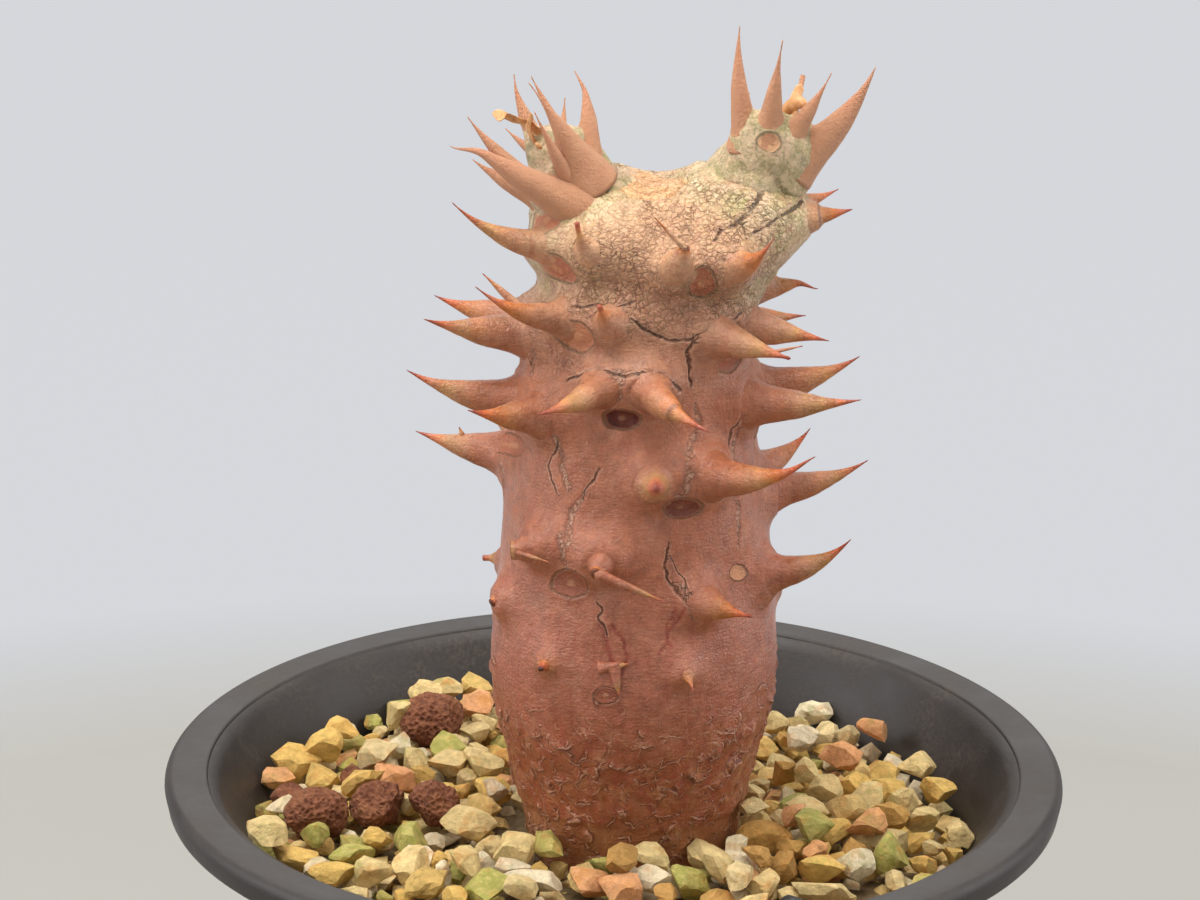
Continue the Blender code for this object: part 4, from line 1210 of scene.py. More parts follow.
def makeSkinMaterial(name, kind):                       # kind is bark, thorn or young
    material, tree, shader = startMaterial(name)
    place = objectPlace(tree)
    height = addNode(tree, "SeparateXYZ", Vector=place).outputs[2]
    drift = noiseOf(tree, 5.0, place, 4.0)
    level = calc(tree, "MULTIPLY_ADD", drift, 7 * mm, height)
    low = skinLook["heights"][0][0]
    high = skinLook["heights"][-1][0]
    share = rescale(tree, level, (low + 3.5) * mm, (high + 3.5) * mm)
    colour = colourRamp(tree, share, [((z - low) / (high - low), tint) for z, tint in skinLook["heights"]])
    fine = noiseOf(tree, 0.3, place, 5.0, 0.65)
    speck = noiseOf(tree, 0.45, place, 3.0, 0.7)
    patch = noiseOf(tree, 1.4, place, 6.0, 0.62)
    if kind == "young":
        colour = feltColour(tree, place, fine, speck)
    tone = readMark(tree, "tone")
    colour = blendColour(tree, rescale(tree, tone, 0.0, 0.40), colour, hornColour(tree, place, tone, kind))
    mottle = rescale(tree, patch, 0.3, 0.7, 0.74, 1.22)
    colour = blendColour(tree, 1.0, colour, grey(tree, mottle), "MULTIPLY")
    wave = noiseOf(tree, 0.75, objectPlace(tree, (0.6, 0.6, 2.6)), 4.0, 0.6)
    grain = noiseOf(tree, 0.5, objectPlace(tree, (2.0, 2.0, 0.35)), 4.0, 0.6)
    tiny = rescale(tree, cellLines(tree, nudged(tree, place, 1.2, 0.7), 0.62), 0.0, 0.22)     # the skin's tiny cells
    bump = addUp(tree, times(tree, fine, 0.05), times(tree, wave, 0.12), times(tree, grain, 0.06),
                 times(tree, tiny, 0.03))
    if kind != "young":
        bloom = rescale(tree, noiseOf(tree, 3.4, place, 5.0, 0.65, 0.6), 0.50, 0.68, 0.0, 0.40)
        colour = blendColour(tree, bloom, colour, (0.56, 0.27, 0.17))
        streak = noiseOf(tree, 1.0, objectPlace(tree, (1.1, 1.1, 0.16)), 5.0, 0.65)
        colour = blendColour(tree, rescale(tree, streak, 0.52, 0.70, 0.0, 0.38), colour, skinLook["red"])
        colour = blendColour(tree, rescale(tree, tiny, 0.0, 0.6, 0.22, 0.0), colour, skinLook["red"])
    if kind == "bark":
        downy = times(tree, readMark(tree, "felt"), rescale(tree, patch, 0.35, 0.60, 0.35, 1.3))
        colour = blendColour(tree, downy, colour, feltColour(tree, place, fine, speck))
        for addFinish, detail in ((crazedSkin, speck), (peelingFoot, speck), (tipScar, patch), (splitSkin, speck)):
            colour, height = addFinish(tree, place, colour, detail)
            bump = addUp(tree, bump, height)
    else:
        # socket: painted shade of the hollow at a broken spine's end
        socket = readMark(tree, "socket")
        colour = blendColour(tree, times(tree, socket, 0.95), colour, skinLook["socket"])
        colour = blendColour(tree, times(tree, readMark(tree, "ring"), 0.7), colour, skinLook["crack"])
        bump = addUp(tree, bump, times(tree, socket, fine, 0.4))
    if kind != "thorn":
        colour, height = leafScars(tree, place, colour, patch, fine)
        bump = addUp(tree, bump, height)
    tree.links.new(colour, shader.inputs["Base Color"])
    smooth, dull = skinLook["roughness"] if kind != "young" else (0.55, 0.8)
    tree.links.new(rescale(tree, addUp(tree, times(tree, patch, 0.6), times(tree, fine, 0.4)), 0.35, 0.65,
                           smooth, dull), shader.inputs["Roughness"])
    if kind == "young":
        bump = addUp(tree, bump, times(tree, noiseOf(tree, 0.32, place, 6.0, 0.75), 0.35))
    tree.links.new(bumpFrom(tree, bump, 1.0), shader.inputs["Normal"])
    shader.inputs["Subsurface Weight"].default_value = skinLook["subsurface"]
    shader.inputs["Subsurface Radius"].default_value = (1.0, 0.35, 0.18)
    shader.inputs["Subsurface Scale"].default_value = 1.2 * mm
    shader.inputs["Specular IOR Level"].default_value = 0.55
    if kind == "young":
        shader.inputs["Sheen Weight"].default_value = 0.25
        shader.inputs["Sheen Roughness"].default_value = 0.6
        shader.inputs["Sheen Tint"].default_value = (0.95, 0.85, 0.68, 1.0)
    return material


barkMaterial = makeSkinMaterial("waxy_bark", "bark")
thornMaterial = makeSkinMaterial("thorn_skin", "thorn")
youngMaterial = makeSkinMaterial("felted_young_skin", "young")

stemPiece = makeStem()
seat(stemPiece, "bark", barkMaterial, "trunk")
print("stem made:", len(stemPiece.data.polygons), "faces")


def makeSplinter(piece):                                # a thin dry cone left where a spine broke
    spine = spines[piece["on"]]
    start = onSkin(piece["from"]) if "from" in piece else spine["line"][int(piece["at"] * 48)]
    end = atDepth(piece["to"], start[1] + piece["back"])
    run = (end - start) / np.linalg.norm(end - start)
    grown = growSpine(start + run * 1.7, run, end, {"thick": piece["radius"], "full": 0.8})
    return makeSpine("splinter", grown, [], 5, 12, 24)


for pair in pairs:
    number = pair - spiral["lowest"] + 1
    halves = []
    for side in (0, 1):
        spine = spines[pair, side]
        halves.append(makeSpine("thorn", spine, [(bareDistance, spine["reach"])], pair * 7 + side))
        for piece in splinters.values():
            if piece["on"] == (pair, side):
                halves[side] = joinPieces("thorn", [halves[side], makeSplinter(piece)])
    if pairs[pair][2] > spiral["separateSpread"]:
        for piece, word in zip(halves, ("left", "right")):
            name = "spine_%02d_%s" % (number, word)
            seat(joinPieces(name + "_thorn", [piece]), "thorn", thornMaterial, name)
    else:
        name = "spine_pair_%02d" % number
        seat(joinPieces(name + "_thorns", halves), "thorn", thornMaterial, name)
print("thorns made")


# Young shoots

shootMesh = {"columns": 150, "rows": 110, "felt": 0.16, "lump": 0.35}


def makeShoot(name):
    shoot = shoots[name]
    run, front, side = shootAxes(shoot)
    foot = np.array(shoot["foot"])
    head = np.array(shoot["head"])
    length = np.linalg.norm(head - foot)
    steps = np.linspace(0, 1, 60)
    radii = shootRadius(shoot, steps)
    bend = np.linspace(0, math.pi / 2, 30)[1:]
    radii = np.append(radii, radii[-1] * np.cos(bend))
    lengths = np.append(steps * length, length + shoot["radii"][2] * np.sin(bend))
    distance = np.append(0, np.cumsum(np.hypot(np.diff(radii), np.diff(lengths))))

    def shape(u, v):
        angle = 2 * math.pi * u
        place = v * distance[-1]
        radius = np.interp(place, distance, radii)
        along = np.interp(place, distance, lengths)
        outRadius = np.interp(place, distance, np.gradient(lengths, distance))
        outAlong = -np.interp(place, distance, np.gradient(radii, distance))
        away = front * np.cos(angle)[:, None] + side * np.sin(angle)[:, None]
        places = foot + run * along[:, None] + away * radius[:, None]
        normals = away * outRadius[:, None] + run * outAlong[:, None]
        normals /= np.linalg.norm(normals, axis=1)[:, None]
        soft = smoothRise(radius, 0, 1.5)
        out = soft * (shootMesh["lump"] * lumps(places, 4.0, 40) + shootMesh["felt"] * manyLumps(places, 0.9, 41))
        marks = {"scarAway": np.full(len(places), 4.0)}
        marks.update({mark: np.zeros(len(places)) for mark in ("scarDark", "scarPale")})
        addShownScars(places, out, marks)
        places = places + normals * out[:, None]
        places = np.where((v <= 0)[:, None], foot, places)
        others = [(bareDistance, np.flatnonzero((v > 0) & (along < 9)), shootLines[name]["reach"])]
        cap = np.full(len(places), shootLines[name]["reach"] * 0.3)
        tone = np.zeros(len(places))
        for spine in youngs[name].values():
            near = np.flatnonzero(np.linalg.norm(places - spine["line"][10], axis=1) < 6)
            others.append((lambda spots, spine=spine: spineDistance(spine, spots)[0], near, spine["reach"]))
            tone[near] = np.maximum(tone[near], hornTone(spine, places[near]))
        cap = np.where(v > 0, cap, 0)
        places = liftSkin(places, normals, others, cap)
        marks["tone"] = tone
        return places, marks

    return wrapGrid(name + "_skin", shootMesh["columns"], shootMesh["rows"], shape)


def shootDistance(name):
    line = shootLines[name]
    return lambda places: spineDistance(line, places)[0]


for name in shoots:
    seat(makeShoot(name), "woolly_shoot", youngMaterial, name)
    count = len(youngPairs[name])
    for number in range(1, count + 1):
        halves = []
        for which in (0, 1):
            spine = youngs[name][number, which]
            bases = [(shootDistance(name), spine["reach"])]
            halves.append(makeSpine("thorn", spine, bases, 60 + number * 3 + which))
        node = "%s_pair_%d" % (name, number)
        seat(joinPieces(node + "_thorns", halves), "young_thorn", youngMaterial, node)
print("shoots made")


# Pot

pot = {
    "height": 90.0, "rimRadius": 52.5, "rimInner": 47.1, "lipHeight": 3.4, "lipThickness": 1.7,
    "throatRadius": 41.4, "throatDepth": 10.0, "footRadius": 33.5, "footRecess": 2.2, "ringWidth": 2.2,
    "footEdge": 0.6, "wall": 1.3, "holeRadius": 4.0, "holePitch": 19.0, "holes": 5, "columns": 240,
    "colour": (0.020, 0.0145, 0.0115), "dust": (0.12, 0.095, 0.075), "paintedRimSheen": (0.040, 0.033, 0.029),
}


def throatRadius(height):
    funnelFoot = pot["height"] - pot["throatDepth"]
    if height > funnelFoot:
        return pot["throatRadius"] + (pot["rimInner"] - pot["throatRadius"]) \
            * ((height - funnelFoot) / pot["throatDepth"]) ** 1.25
    inner = pot["footRadius"] - pot["wall"]
    return inner + (pot["throatRadius"] - inner) * height / funnelFoot


def roundCorner(middle, radius, start, end, steps):     # points of an arc, angles in degrees
    turns = np.radians(np.linspace(start, end, steps))
    return [(middle[0] + radius * math.cos(turn), middle[1] + radius * math.sin(turn)) for turn in turns]


def potOutline():
    underLip = pot["height"] - pot["lipHeight"]
    ringInner = pot["footRadius"] - pot["ringWidth"]
    points = [(0, pot["footRecess"]), (ringInner - 0.9, pot["footRecess"]), (ringInner - 0.2, 0.35)]
    points += roundCorner((ringInner + 0.3, 0.3), 0.3, 200, 270, 4)
    points += roundCorner((pot["footRadius"] - 0.5, 0.5), 0.5, 270, 350, 5)
    for height in np.linspace(4, underLip - 1.5, 14):
        points.append((throatRadius(height) + pot["wall"], height))
    ledge = pot["height"] - pot["lipThickness"]
    points += [(pot["rimInner"] + 0.65, ledge), (pot["rimRadius"] - pot["lipThickness"] - 0.4, ledge)]
    points += [(pot["rimRadius"] - pot["lipThickness"] + 0.1, ledge - 0.5)]
    points += [(pot["rimRadius"] - pot["lipThickness"] + 0.3, underLip + 0.1)]
    points += roundCorner((pot["rimRadius"] - 0.7, underLip + 0.35), 0.35, 225, 350, 5)
    points += roundCorner((pot["rimRadius"] - 1.3, pot["height"] - 1.3), 1.3, 0, 80, 8)
    points += [(pot["rimRadius"] - 2.6, pot["height"] - 0.02), (pot["rimInner"] + 1.4, pot["height"] - 0.06)]
    points += roundCorner((pot["rimInner"] + 0.75, pot["height"] - 0.45), 0.4, 80, 170, 5)
    for depth in (0.9, 1.6, 2.6, 4.0, 5.5, 7.0, 8.5, 10.0, 11.5):
        points.append((throatRadius(pot["height"] - depth), pot["height"] - depth))
    floor = pot["footRecess"] + pot["wall"]
    for height in np.linspace(74, floor + 0.8, 8):
        points.append((throatRadius(height), height))
    points += [(throatRadius(floor) - 0.8, floor), (0, floor)]
    return np.array(points)


def turnOutline(name, points, columns, wobble=0.0):     # a closed outline spun round the upright axis
    def shape(u, v):
        k = v * (len(points) - 1)
        radius = np.interp(k, np.arange(len(points)), points[:, 0])
        height = np.interp(k, np.arange(len(points)), points[:, 1])
        angle = 2 * math.pi * u
        radius = radius * (1 + wobble * (np.sin(2 * angle + 0.7) + 0.5 * np.sin(3 * angle)) * (height / 90))
        return np.stack([radius * np.sin(angle), -radius * np.cos(angle), height], axis=1), {}

    return wrapGrid(name, columns, len(points) - 1, shape)


def makePotMaterial():
    material, tree, shader = startMaterial("dusty_dark_plastic")
    place = objectPlace(tree)
    height = addNode(tree, "SeparateXYZ", Vector=place).outputs[2]
    facing = addNode(tree, "SeparateXYZ", Vector=addNode(tree, "NewGeometry").outputs["Normal"]).outputs[2]
    # the rim's flat, upward-facing top gets a lighter colour: painted sheen
    flatTop = calc(tree, "MULTIPLY", rescale(tree, facing, 0.35, 0.95), rescale(tree, height, 0.088, 0.0895))
    cloud = noiseOf(tree, 9.0, place, 6.0, 0.62)
    speck = noiseOf(tree, 0.55, place, 3.0, 0.7)
    scuff = noiseOf(tree, 3.0, objectPlace(tree, (1, 1, 4)), 5.0, 0.7, 1.2)
    dust = calc(tree, "MULTIPLY", rescale(tree, cloud, 0.45, 0.75), rescale(tree, speck, 0.42, 0.66))
    colour = blendColour(tree, calc(tree, "MULTIPLY", flatTop, 0.75), pot["colour"], pot["paintedRimSheen"])
    colour = blendColour(tree, calc(tree, "MULTIPLY", dust, 0.55), colour, pot["dust"])
    colour = blendColour(tree, rescale(tree, scuff, 0.66, 0.80, 0.0, 0.35), colour, pot["dust"])
    tree.links.new(colour, shader.inputs["Base Color"])
    rough = calc(tree, "ADD", rescale(tree, cloud, 0.3, 0.7, 0.42, 0.58), calc(tree, "MULTIPLY", dust, 0.25))
    tree.links.new(rough, shader.inputs["Roughness"])
    fine = bumpFrom(tree, noiseOf(tree, 0.25, place, 3.0, 0.6), 0.02)
    tree.links.new(bumpFrom(tree, scuff, 0.04, fine), shader.inputs["Normal"])
    return material


def makePot():
    piece = turnOutline("plastic_pot", potOutline(), pot["columns"])
    cutters = []
    for k in range(pot["holes"]):
        turn = 2 * math.pi * k / pot["holes"]
        spot = (pot["holePitch"] * math.cos(turn) * mm, pot["holePitch"] * math.sin(turn) * mm, 3 * mm)
        bpy.ops.mesh.primitive_cylinder_add(vertices=40, radius=pot["holeRadius"] * mm, depth=8 * mm, location=spot)
        cutters.append(bpy.context.object)
    cutter = joinPieces("drain_cutter", cutters)
    cut = piece.modifiers.new("Drain", "BOOLEAN")
    cut.operation = "DIFFERENCE"
    cut.object = cutter
    onlySelect(piece)
    bpy.ops.object.modifier_apply(modifier="Drain")
    bpy.data.objects.remove(cutter, do_unlink=True)
    bpy.ops.object.shade_smooth_by_angle(angle=math.radians(38))
    seat(piece, "pot_plastic", makePotMaterial(), "pot")


makePot()
print("pot made")


# Gravel and loose stones

gravel = {
    "level": 84.6, "floor": 79.6, "count": 760, "radii": (0.95, 2.7), "steps": 140, "seed": 21,
    "slack": 0.90, "variants": 18, "underlay": 80.6, "backRise": 2.2,
}

# Stones that stand out in the photograph: pixel of the middle, radii across, deep and high, turn, and tint.
# Tints: 0 cream, 0.2 white, 0.4 yellow, 0.6 ochre, 0.8 pink and orange, 1 green
frontStones = {
    "whiteLeft": ((373, 762), (1.7, 1.5, 1.4), 0, 0.2),
    "pinkLeft": ((395, 782), (3.0, 2.2, 2.2), 30, 0.8),
    "greyGreen": ((449, 764), (2.6, 2.2, 2.1), 70, 0.0),
    "bigPaleLeft": ((488, 766), (3.2, 2.6, 2.2), 10, 0.0),
    "pinkPebble": ((496, 790), (1.9, 1.6, 1.5), 0, 0.2),
    "yellowBack": ((322, 746), (2.6, 2.2, 1.9), 15, 0.4),
    "paleBack": ((398, 714), (2.6, 2.1, 1.9), 40, 0.0),
    "creamBack": ((427, 693), (2.2, 1.8, 1.6), 0, 0.0),
    "mossyFront": ((411, 842), (2.6, 2.2, 2.0), 20, 1.0),
    "paleUpright": ((412, 874), (2.9, 2.3, 2.6), 80, 0.0),
    "creamFront": ((373, 873), (2.3, 2.2, 2.1), 0, 0.0),
    "flatYellow": ((332, 875), (2.9, 1.8, 1.2), 12, 0.4),
    "edgeOchre": ((290, 857), (3.2, 1.9, 1.3), -25, 0.4),
    "greenLeft": ((352, 854), (2.9, 1.8, 1.4), 10, 1.0),
    "bigCream": ((470, 826), (3.2, 2.5, 2.1), -35, 0.0),
    "roundGrey": ((514, 851), (2.4, 2.2, 1.9), 0, 0.0),
    "smallPink": ((485, 863), (1.3, 1.2, 1.2), 0, 0.2),
    "greenSmall": ((461, 867), (1.7, 1.9, 1.9), 0, 1.0),
    "whiteSliver": ((443, 878), (1.1, 1.3, 1.9), 0, 0.2),
    "limeFront": ((484, 890), (2.7, 2.3, 2.0), 35, 1.0),
    "whiteWedge": ((536, 882), (3.4, 1.9, 1.3), 5, 0.2),
    "orangeLump": ((592, 884), (2.6, 2.1, 2.0), 0, 0.8),
    "orangeLumpTwo": ((622, 892), (2.4, 1.9, 1.8), 20, 0.8),
    "whiteOrange": ((648, 880), (2.9, 1.9, 1.7), -25, 0.2),
    "greenCream": ((690, 884), (2.3, 2.1, 2.1), 0, 1.0),
    "orangeWedge": ((742, 879), (2.3, 1.5, 1.3), 25, 0.8),
    "creamRight": ((763, 888), (1.9, 1.7, 1.9), 60, 0.0),
    "smallOchre": ((794, 850), (2.2, 1.5, 1.3), 5, 0.6),
    "yellowRight": ((822, 869), (2.7, 2.1, 1.8), 0, 0.4),
    "creamWide": ((824, 892), (3.3, 1.9, 1.6), -5, 0.0),
    "whiteRight": ((857, 866), (2.2, 2.1, 2.0), 0, 0.2),
    "creamLumps": ((830, 835), (3.0, 2.0, 1.8), 25, 0.4),
    "bigSpeckled": ((871, 806), (3.1, 2.8, 2.3), 0, 0.0),
    "brownFlat": ((784, 772), (2.3, 2.0, 1.7), 10, 0.6),
    "angledRight": ((890, 853), (2.5, 2.4, 2.4), 50, 1.0),
    "farRight": ((921, 817), (2.1, 1.9, 1.9), 0, 0.0),
    "farRightTwo": ((938, 791), (2.4, 1.9, 1.8), -30, 0.4),
    "creamAngle": ((919, 767), (2.3, 2.2, 1.8), 0, 0.0),
    "orangeBack": ((874, 730), (2.0, 1.7, 1.6), 10, 0.8),
    "paleMid": ((822, 789), (2.3, 1.9, 1.7), 0, 0.0),
    "lavaSmall": ((287, 800), (2.3, 1.9, 1.8), 0, 2.0),
    "lavaBehind": ((356, 778), (2.2, 1.8, 1.7), 0, 2.0),
    "lavaLow": ((390, 800), (2.4, 1.9, 1.8), 0, 2.0),
}


def bedRise(x, y):                                      # the bed slopes up behind, most on the left
    return 0.02 * y + gravel["backRise"] * smoothRise(-x, 2, 26) * smoothRise(y, 4, 28)


def stoneVariants():                                    # a few worn crushed stones, copied for all the rest
    chance = random.Random(gravel["seed"])
    shapes = []
    for number in range(gravel["variants"]):
        bpy.ops.object.select_all(action="DESELECT")
        bpy.ops.mesh.primitive_ico_sphere_add(subdivisions=3, radius=mm)
        piece = bpy.context.object
        places = readPlaces(piece)
        for _ in range(13):                             # broken faces
            away = np.array([chance.gauss(0, 1) for _ in range(3)])
            away /= np.linalg.norm(away)
            over = np.maximum(0, places @ away - chance.uniform(0.42, 0.80))
            places = places - over[:, None] * away
        places = places * (1 + 0.10 * lumps(places, 0.7, number)[:, None] + 0.05 * lumps(places, 0.3, number)[:, None])
        faces = np.array([list(face.vertices) for face in piece.data.polygons])
        shapes.append((places / np.abs(places).max(axis=0), faces))
        bpy.data.objects.remove(piece, do_unlink=True)
    return shapes


def coarseStone(detail):                                # the same stones with fewer faces
    bpy.ops.mesh.primitive_ico_sphere_add(subdivisions=detail, radius=mm)
    piece = bpy.context.object
    places = readPlaces(piece)
    faces = np.array([list(face.vertices) for face in piece.data.polygons])
    bpy.data.objects.remove(piece, do_unlink=True)
    return places, faces


def packStones(fixed):                                  # loose balls pushed apart and down until they lie together
    draw = np.random.default_rng(gravel["seed"])
    low, high = gravel["radii"]
    count = gravel["count"]
    radius = low + (high - low) * draw.beta(1.6, 2.2, count)
    turn = draw.uniform(0, 2 * math.pi, count)
    away = np.sqrt(draw.uniform(14.5 ** 2, 40.5 ** 2, count))
    spots = np.stack([away * np.cos(turn), away * np.sin(turn), draw.uniform(80, 90, count)], axis=1)
    spots = np.concatenate([fixed[:, :3], spots])
    radius = np.concatenate([fixed[:, 3], radius])
    held = np.arange(len(spots)) < len(fixed)
    for step in range(gravel["steps"]):
        spots[~held, 2] -= 0.12 * (1 - step / gravel["steps"]) + 0.02
        gap = spots[:, None, :] - spots[None, :, :]
        distance = np.linalg.norm(gap, axis=2) + 1e-6
        over = (radius[:, None] + radius[None, :]) * gravel["slack"] - distance
        np.fill_diagonal(over, 0)
        over = np.maximum(over, 0)
        share = np.where(held[None, :], 1.0, 0.5)
        push = (gap / distance[:, :, None] * (over * share)[:, :, None]).sum(axis=1)
        spots[~held] += np.clip(push[~held], -0.6, 0.6)
        ground = gravel["floor"] + bedRise(spots[:, 0], spots[:, 1]) + radius * 0.5
        spots[:, 2] = np.where(held, spots[:, 2], np.maximum(spots[:, 2], ground))
        out = np.hypot(spots[:, 0], spots[:, 1])
        wall = np.array([throatRadius(z) for z in spots[:, 2]]) - radius * 0.9 - 0.2
        squeeze = np.where((out > wall) & ~held, wall / out, 1.0)
        spots[:, :2] *= squeeze[:, None]
        across = spots[:, :2] - stem["middle"]
        out = np.linalg.norm(across, axis=1)
        clear = easedCurve(stem["outline"], spots[:, 2]) + radius * 0.9 + 0.2
        shift = np.where((out < clear) & ~held, clear / out, 1.0)
        spots[:, :2] = stem["middle"] + across * shift[:, None]
    return spots[len(fixed):], radius[len(fixed):]


def placeStone(shape, middle, radii, turn, draw):       # a copy of a stone, sized and turned
    places = shape @ np.array(Matrix.Rotation(draw.uniform(0, 6.28), 3, "Z")).T
    places = places @ np.array(Matrix.Rotation(draw.uniform(-0.35, 0.35), 3, "X")).T
    places = places * np.array(radii)
    places = places @ np.array(Matrix.Rotation(math.radians(turn), 3, "Z")).T
    return places + middle


def meshFrom(name, stones):                             # one mesh of many stones, with each one's tint
    places = np.concatenate([stone[0] for stone in stones])
    starts = np.cumsum([0] + [len(stone[0]) for stone in stones[:-1]])
    faces = np.concatenate([stone[1] + start for stone, start in zip(stones, starts)])
    mesh = bpy.data.meshes.new(name)
    mesh.from_pydata((places * mm).tolist(), [], faces.tolist())
    piece = bpy.data.objects.new(name, mesh)
    bpy.context.scene.collection.objects.link(piece)
    for mark, column in (("tint", 2), ("shade", 3)):
        writeMark(piece, mark, np.concatenate([np.full(len(stone[0]), stone[column]) for stone in stones]))
    onlySelect(piece)
    bpy.ops.object.shade_smooth_by_angle(angle=math.radians(24))
    return piece


def makeStoneMaterial():
    material, tree, shader = startMaterial("crushed_gravel")
    place = objectPlace(tree)
    tint = readMark(tree, "tint")
    shade = readMark(tree, "shade")
    base = colourRamp(tree, tint, ((0.0, (0.78, 0.58, 0.26)), (0.2, (0.86, 0.72, 0.48)), (0.4, (0.78, 0.50, 0.14)),
                                   (0.6, (0.60, 0.33, 0.09)), (0.8, (0.78, 0.38, 0.17)), (1.0, (0.54, 0.46, 0.14))))
    spread = rescale(tree, noiseOf(tree, 1.3, place, 6.0, 0.68), 0.3, 0.7, 0.66, 1.18)
    depth = calc(tree, "MULTIPLY", spread, shade)
    colour = blendColour(tree, 1.0, base, addNode(tree, "CombineXYZ", X=depth, Y=depth, Z=depth).outputs[0],
                         "MULTIPLY")
    algae = calc(tree, "MULTIPLY", rescale(tree, noiseOf(tree, 5.5, place, 3.0, 0.5), 0.52, 0.66),
                 rescale(tree, noiseOf(tree, 0.8, place, 4.0, 0.6), 0.40, 0.62))
    green = calc(tree, "MAXIMUM", calc(tree, "MULTIPLY", algae, 0.7),
                 calc(tree, "MULTIPLY", rescale(tree, tint, 0.85, 1.0),
                      rescale(tree, noiseOf(tree, 1.1, place, 4.0, 0.6), 0.42, 0.58)))
    colour = blendColour(tree, calc(tree, "MULTIPLY", green, 0.62), colour, (0.30, 0.31, 0.055))
    stain = rescale(tree, noiseOf(tree, 2.4, place, 5.0, 0.65), 0.54, 0.70, 0.0, 0.65)
    colour = blendColour(tree, stain, colour, (0.62, 0.27, 0.06))
    tree.links.new(colour, shader.inputs["Base Color"])
    tree.links.new(rescale(tree, spread, 0.78, 1.12, 0.9, 0.7), shader.inputs["Roughness"])
    normal = bumpFrom(tree, noiseOf(tree, 0.5, place, 6.0, 0.72), 0.36)
    tree.links.new(bumpFrom(tree, noiseOf(tree, 1.7, place, 3.0, 0.5), 0.5, normal), shader.inputs["Normal"])
    shader.inputs["Specular IOR Level"].default_value = 0.3
    return material


def makeLavaMaterial():
    material, tree, shader = startMaterial("pitted_lava")
    place = objectPlace(tree)
    pits = noiseOf(tree, 0.7, place, 6.0, 0.7)
    colour = colourRamp(tree, pits, ((0.25, (0.045, 0.015, 0.008)), (0.45, (0.19, 0.06, 0.027)),
                                     (0.62, (0.30, 0.115, 0.05)), (0.8, (0.42, 0.21, 0.10))))
    rust = rescale(tree, noiseOf(tree, 3.0, place, 4.0, 0.6), 0.52, 0.72, 0.0, 0.6)
    colour = blendColour(tree, rust, colour, (0.40, 0.17, 0.07))
    tree.links.new(colour, shader.inputs["Base Color"])
    shader.inputs["Roughness"].default_value = 0.88
    tree.links.new(bumpFrom(tree, pits, 0.5), shader.inputs["Normal"])
    return material


# Loose stones that the frame holds: node, middle, radii, turn and tint
looseStones = {
    "lava_stone_1": ((-34.5, -6.0, 85.4), (3.9, 3.3, 3.0), 20, 2.0),
    "lava_stone_2": ((-27.5, -4.0, 85.6), (3.5, 3.1, 2.9), 70, 2.0),
    "lava_stone_3": ((-21.0, -2.5, 85.4), (3.2, 2.8, 2.6), 140, 2.0),
    "lava_stone_4": ((-22.0, 22.0, 86.2), (4.4, 3.7, 3.2), 35, 2.0),
    "pale_stone": ((13.6, -17.5, 84.0), (3.0, 2.5, 2.0), 10, 0.2),
    "orange_stone": ((17.5, -9.0, 84.2), (3.4, 2.4, 2.0), -15, 0.6),
    "black_pebble": ((20.0, -27.5, 83.9), (1.6, 1.4, 1.3), 0, 0.0),
}


def makeLooseStone(name, middle, radii, turn, tint, material):
    rough = name.startswith("lava")
    bpy.ops.object.select_all(action="DESELECT")
    bpy.ops.mesh.primitive_ico_sphere_add(subdivisions=6 if rough else 5, radius=mm)
    piece = bpy.context.object
    piece.name = name + "_rock"
    piece.data.name = piece.name
    places = readPlaces(piece)
    chance = random.Random(name)
    for _ in range(7 if rough else 4):
        away = np.array([chance.gauss(0, 1) for _ in range(3)])
        away /= np.linalg.norm(away)
        over = np.maximum(0, places @ away - chance.uniform(0.62, 0.85))
        places = places - over[:, None] * away * 0.8
    places = places * np.array(radii)
    turned = math.radians(turn)
    spin = np.array(Matrix.Rotation(turned, 3, "Z"))
    away = places / np.linalg.norm(places, axis=1)[:, None]
    if rough:
        pits = 1 - smoothRise(cellNet(places, 0.75, 3)[0], 0.0, 0.5)
        out = 0.35 * manyLumps(places, 1.6, 2) + 0.28 * pits + 0.1 * lumps(places, 0.35, 6) - 0.15
    else:
        out = 0.06 * manyLumps(places, 1.4, 2)
    places = (places + away * out[:, None]) @ spin.T + np.array(middle)
    writePlaces(piece, places)
    writeMark(piece, "tint", np.full(len(places), tint))
    writeMark(piece, "shade", np.full(len(places), 1.0))
    bpy.ops.object.shade_smooth()
    seat(piece, name if not rough else "lava_stone", material, name)


def makePebbleMaterial():
    material, tree, shader = startMaterial("dark_pebble")
    speck = noiseOf(tree, 0.6, objectPlace(tree), 5.0, 0.6)
    colour = colourRamp(tree, speck, ((0.35, (0.006, 0.006, 0.007)), (0.7, (0.05, 0.045, 0.04))))
    tree.links.new(colour, shader.inputs["Base Color"])
    shader.inputs["Roughness"].default_value = 0.5
    tree.links.new(bumpFrom(tree, speck, 0.15), shader.inputs["Normal"])
    return material


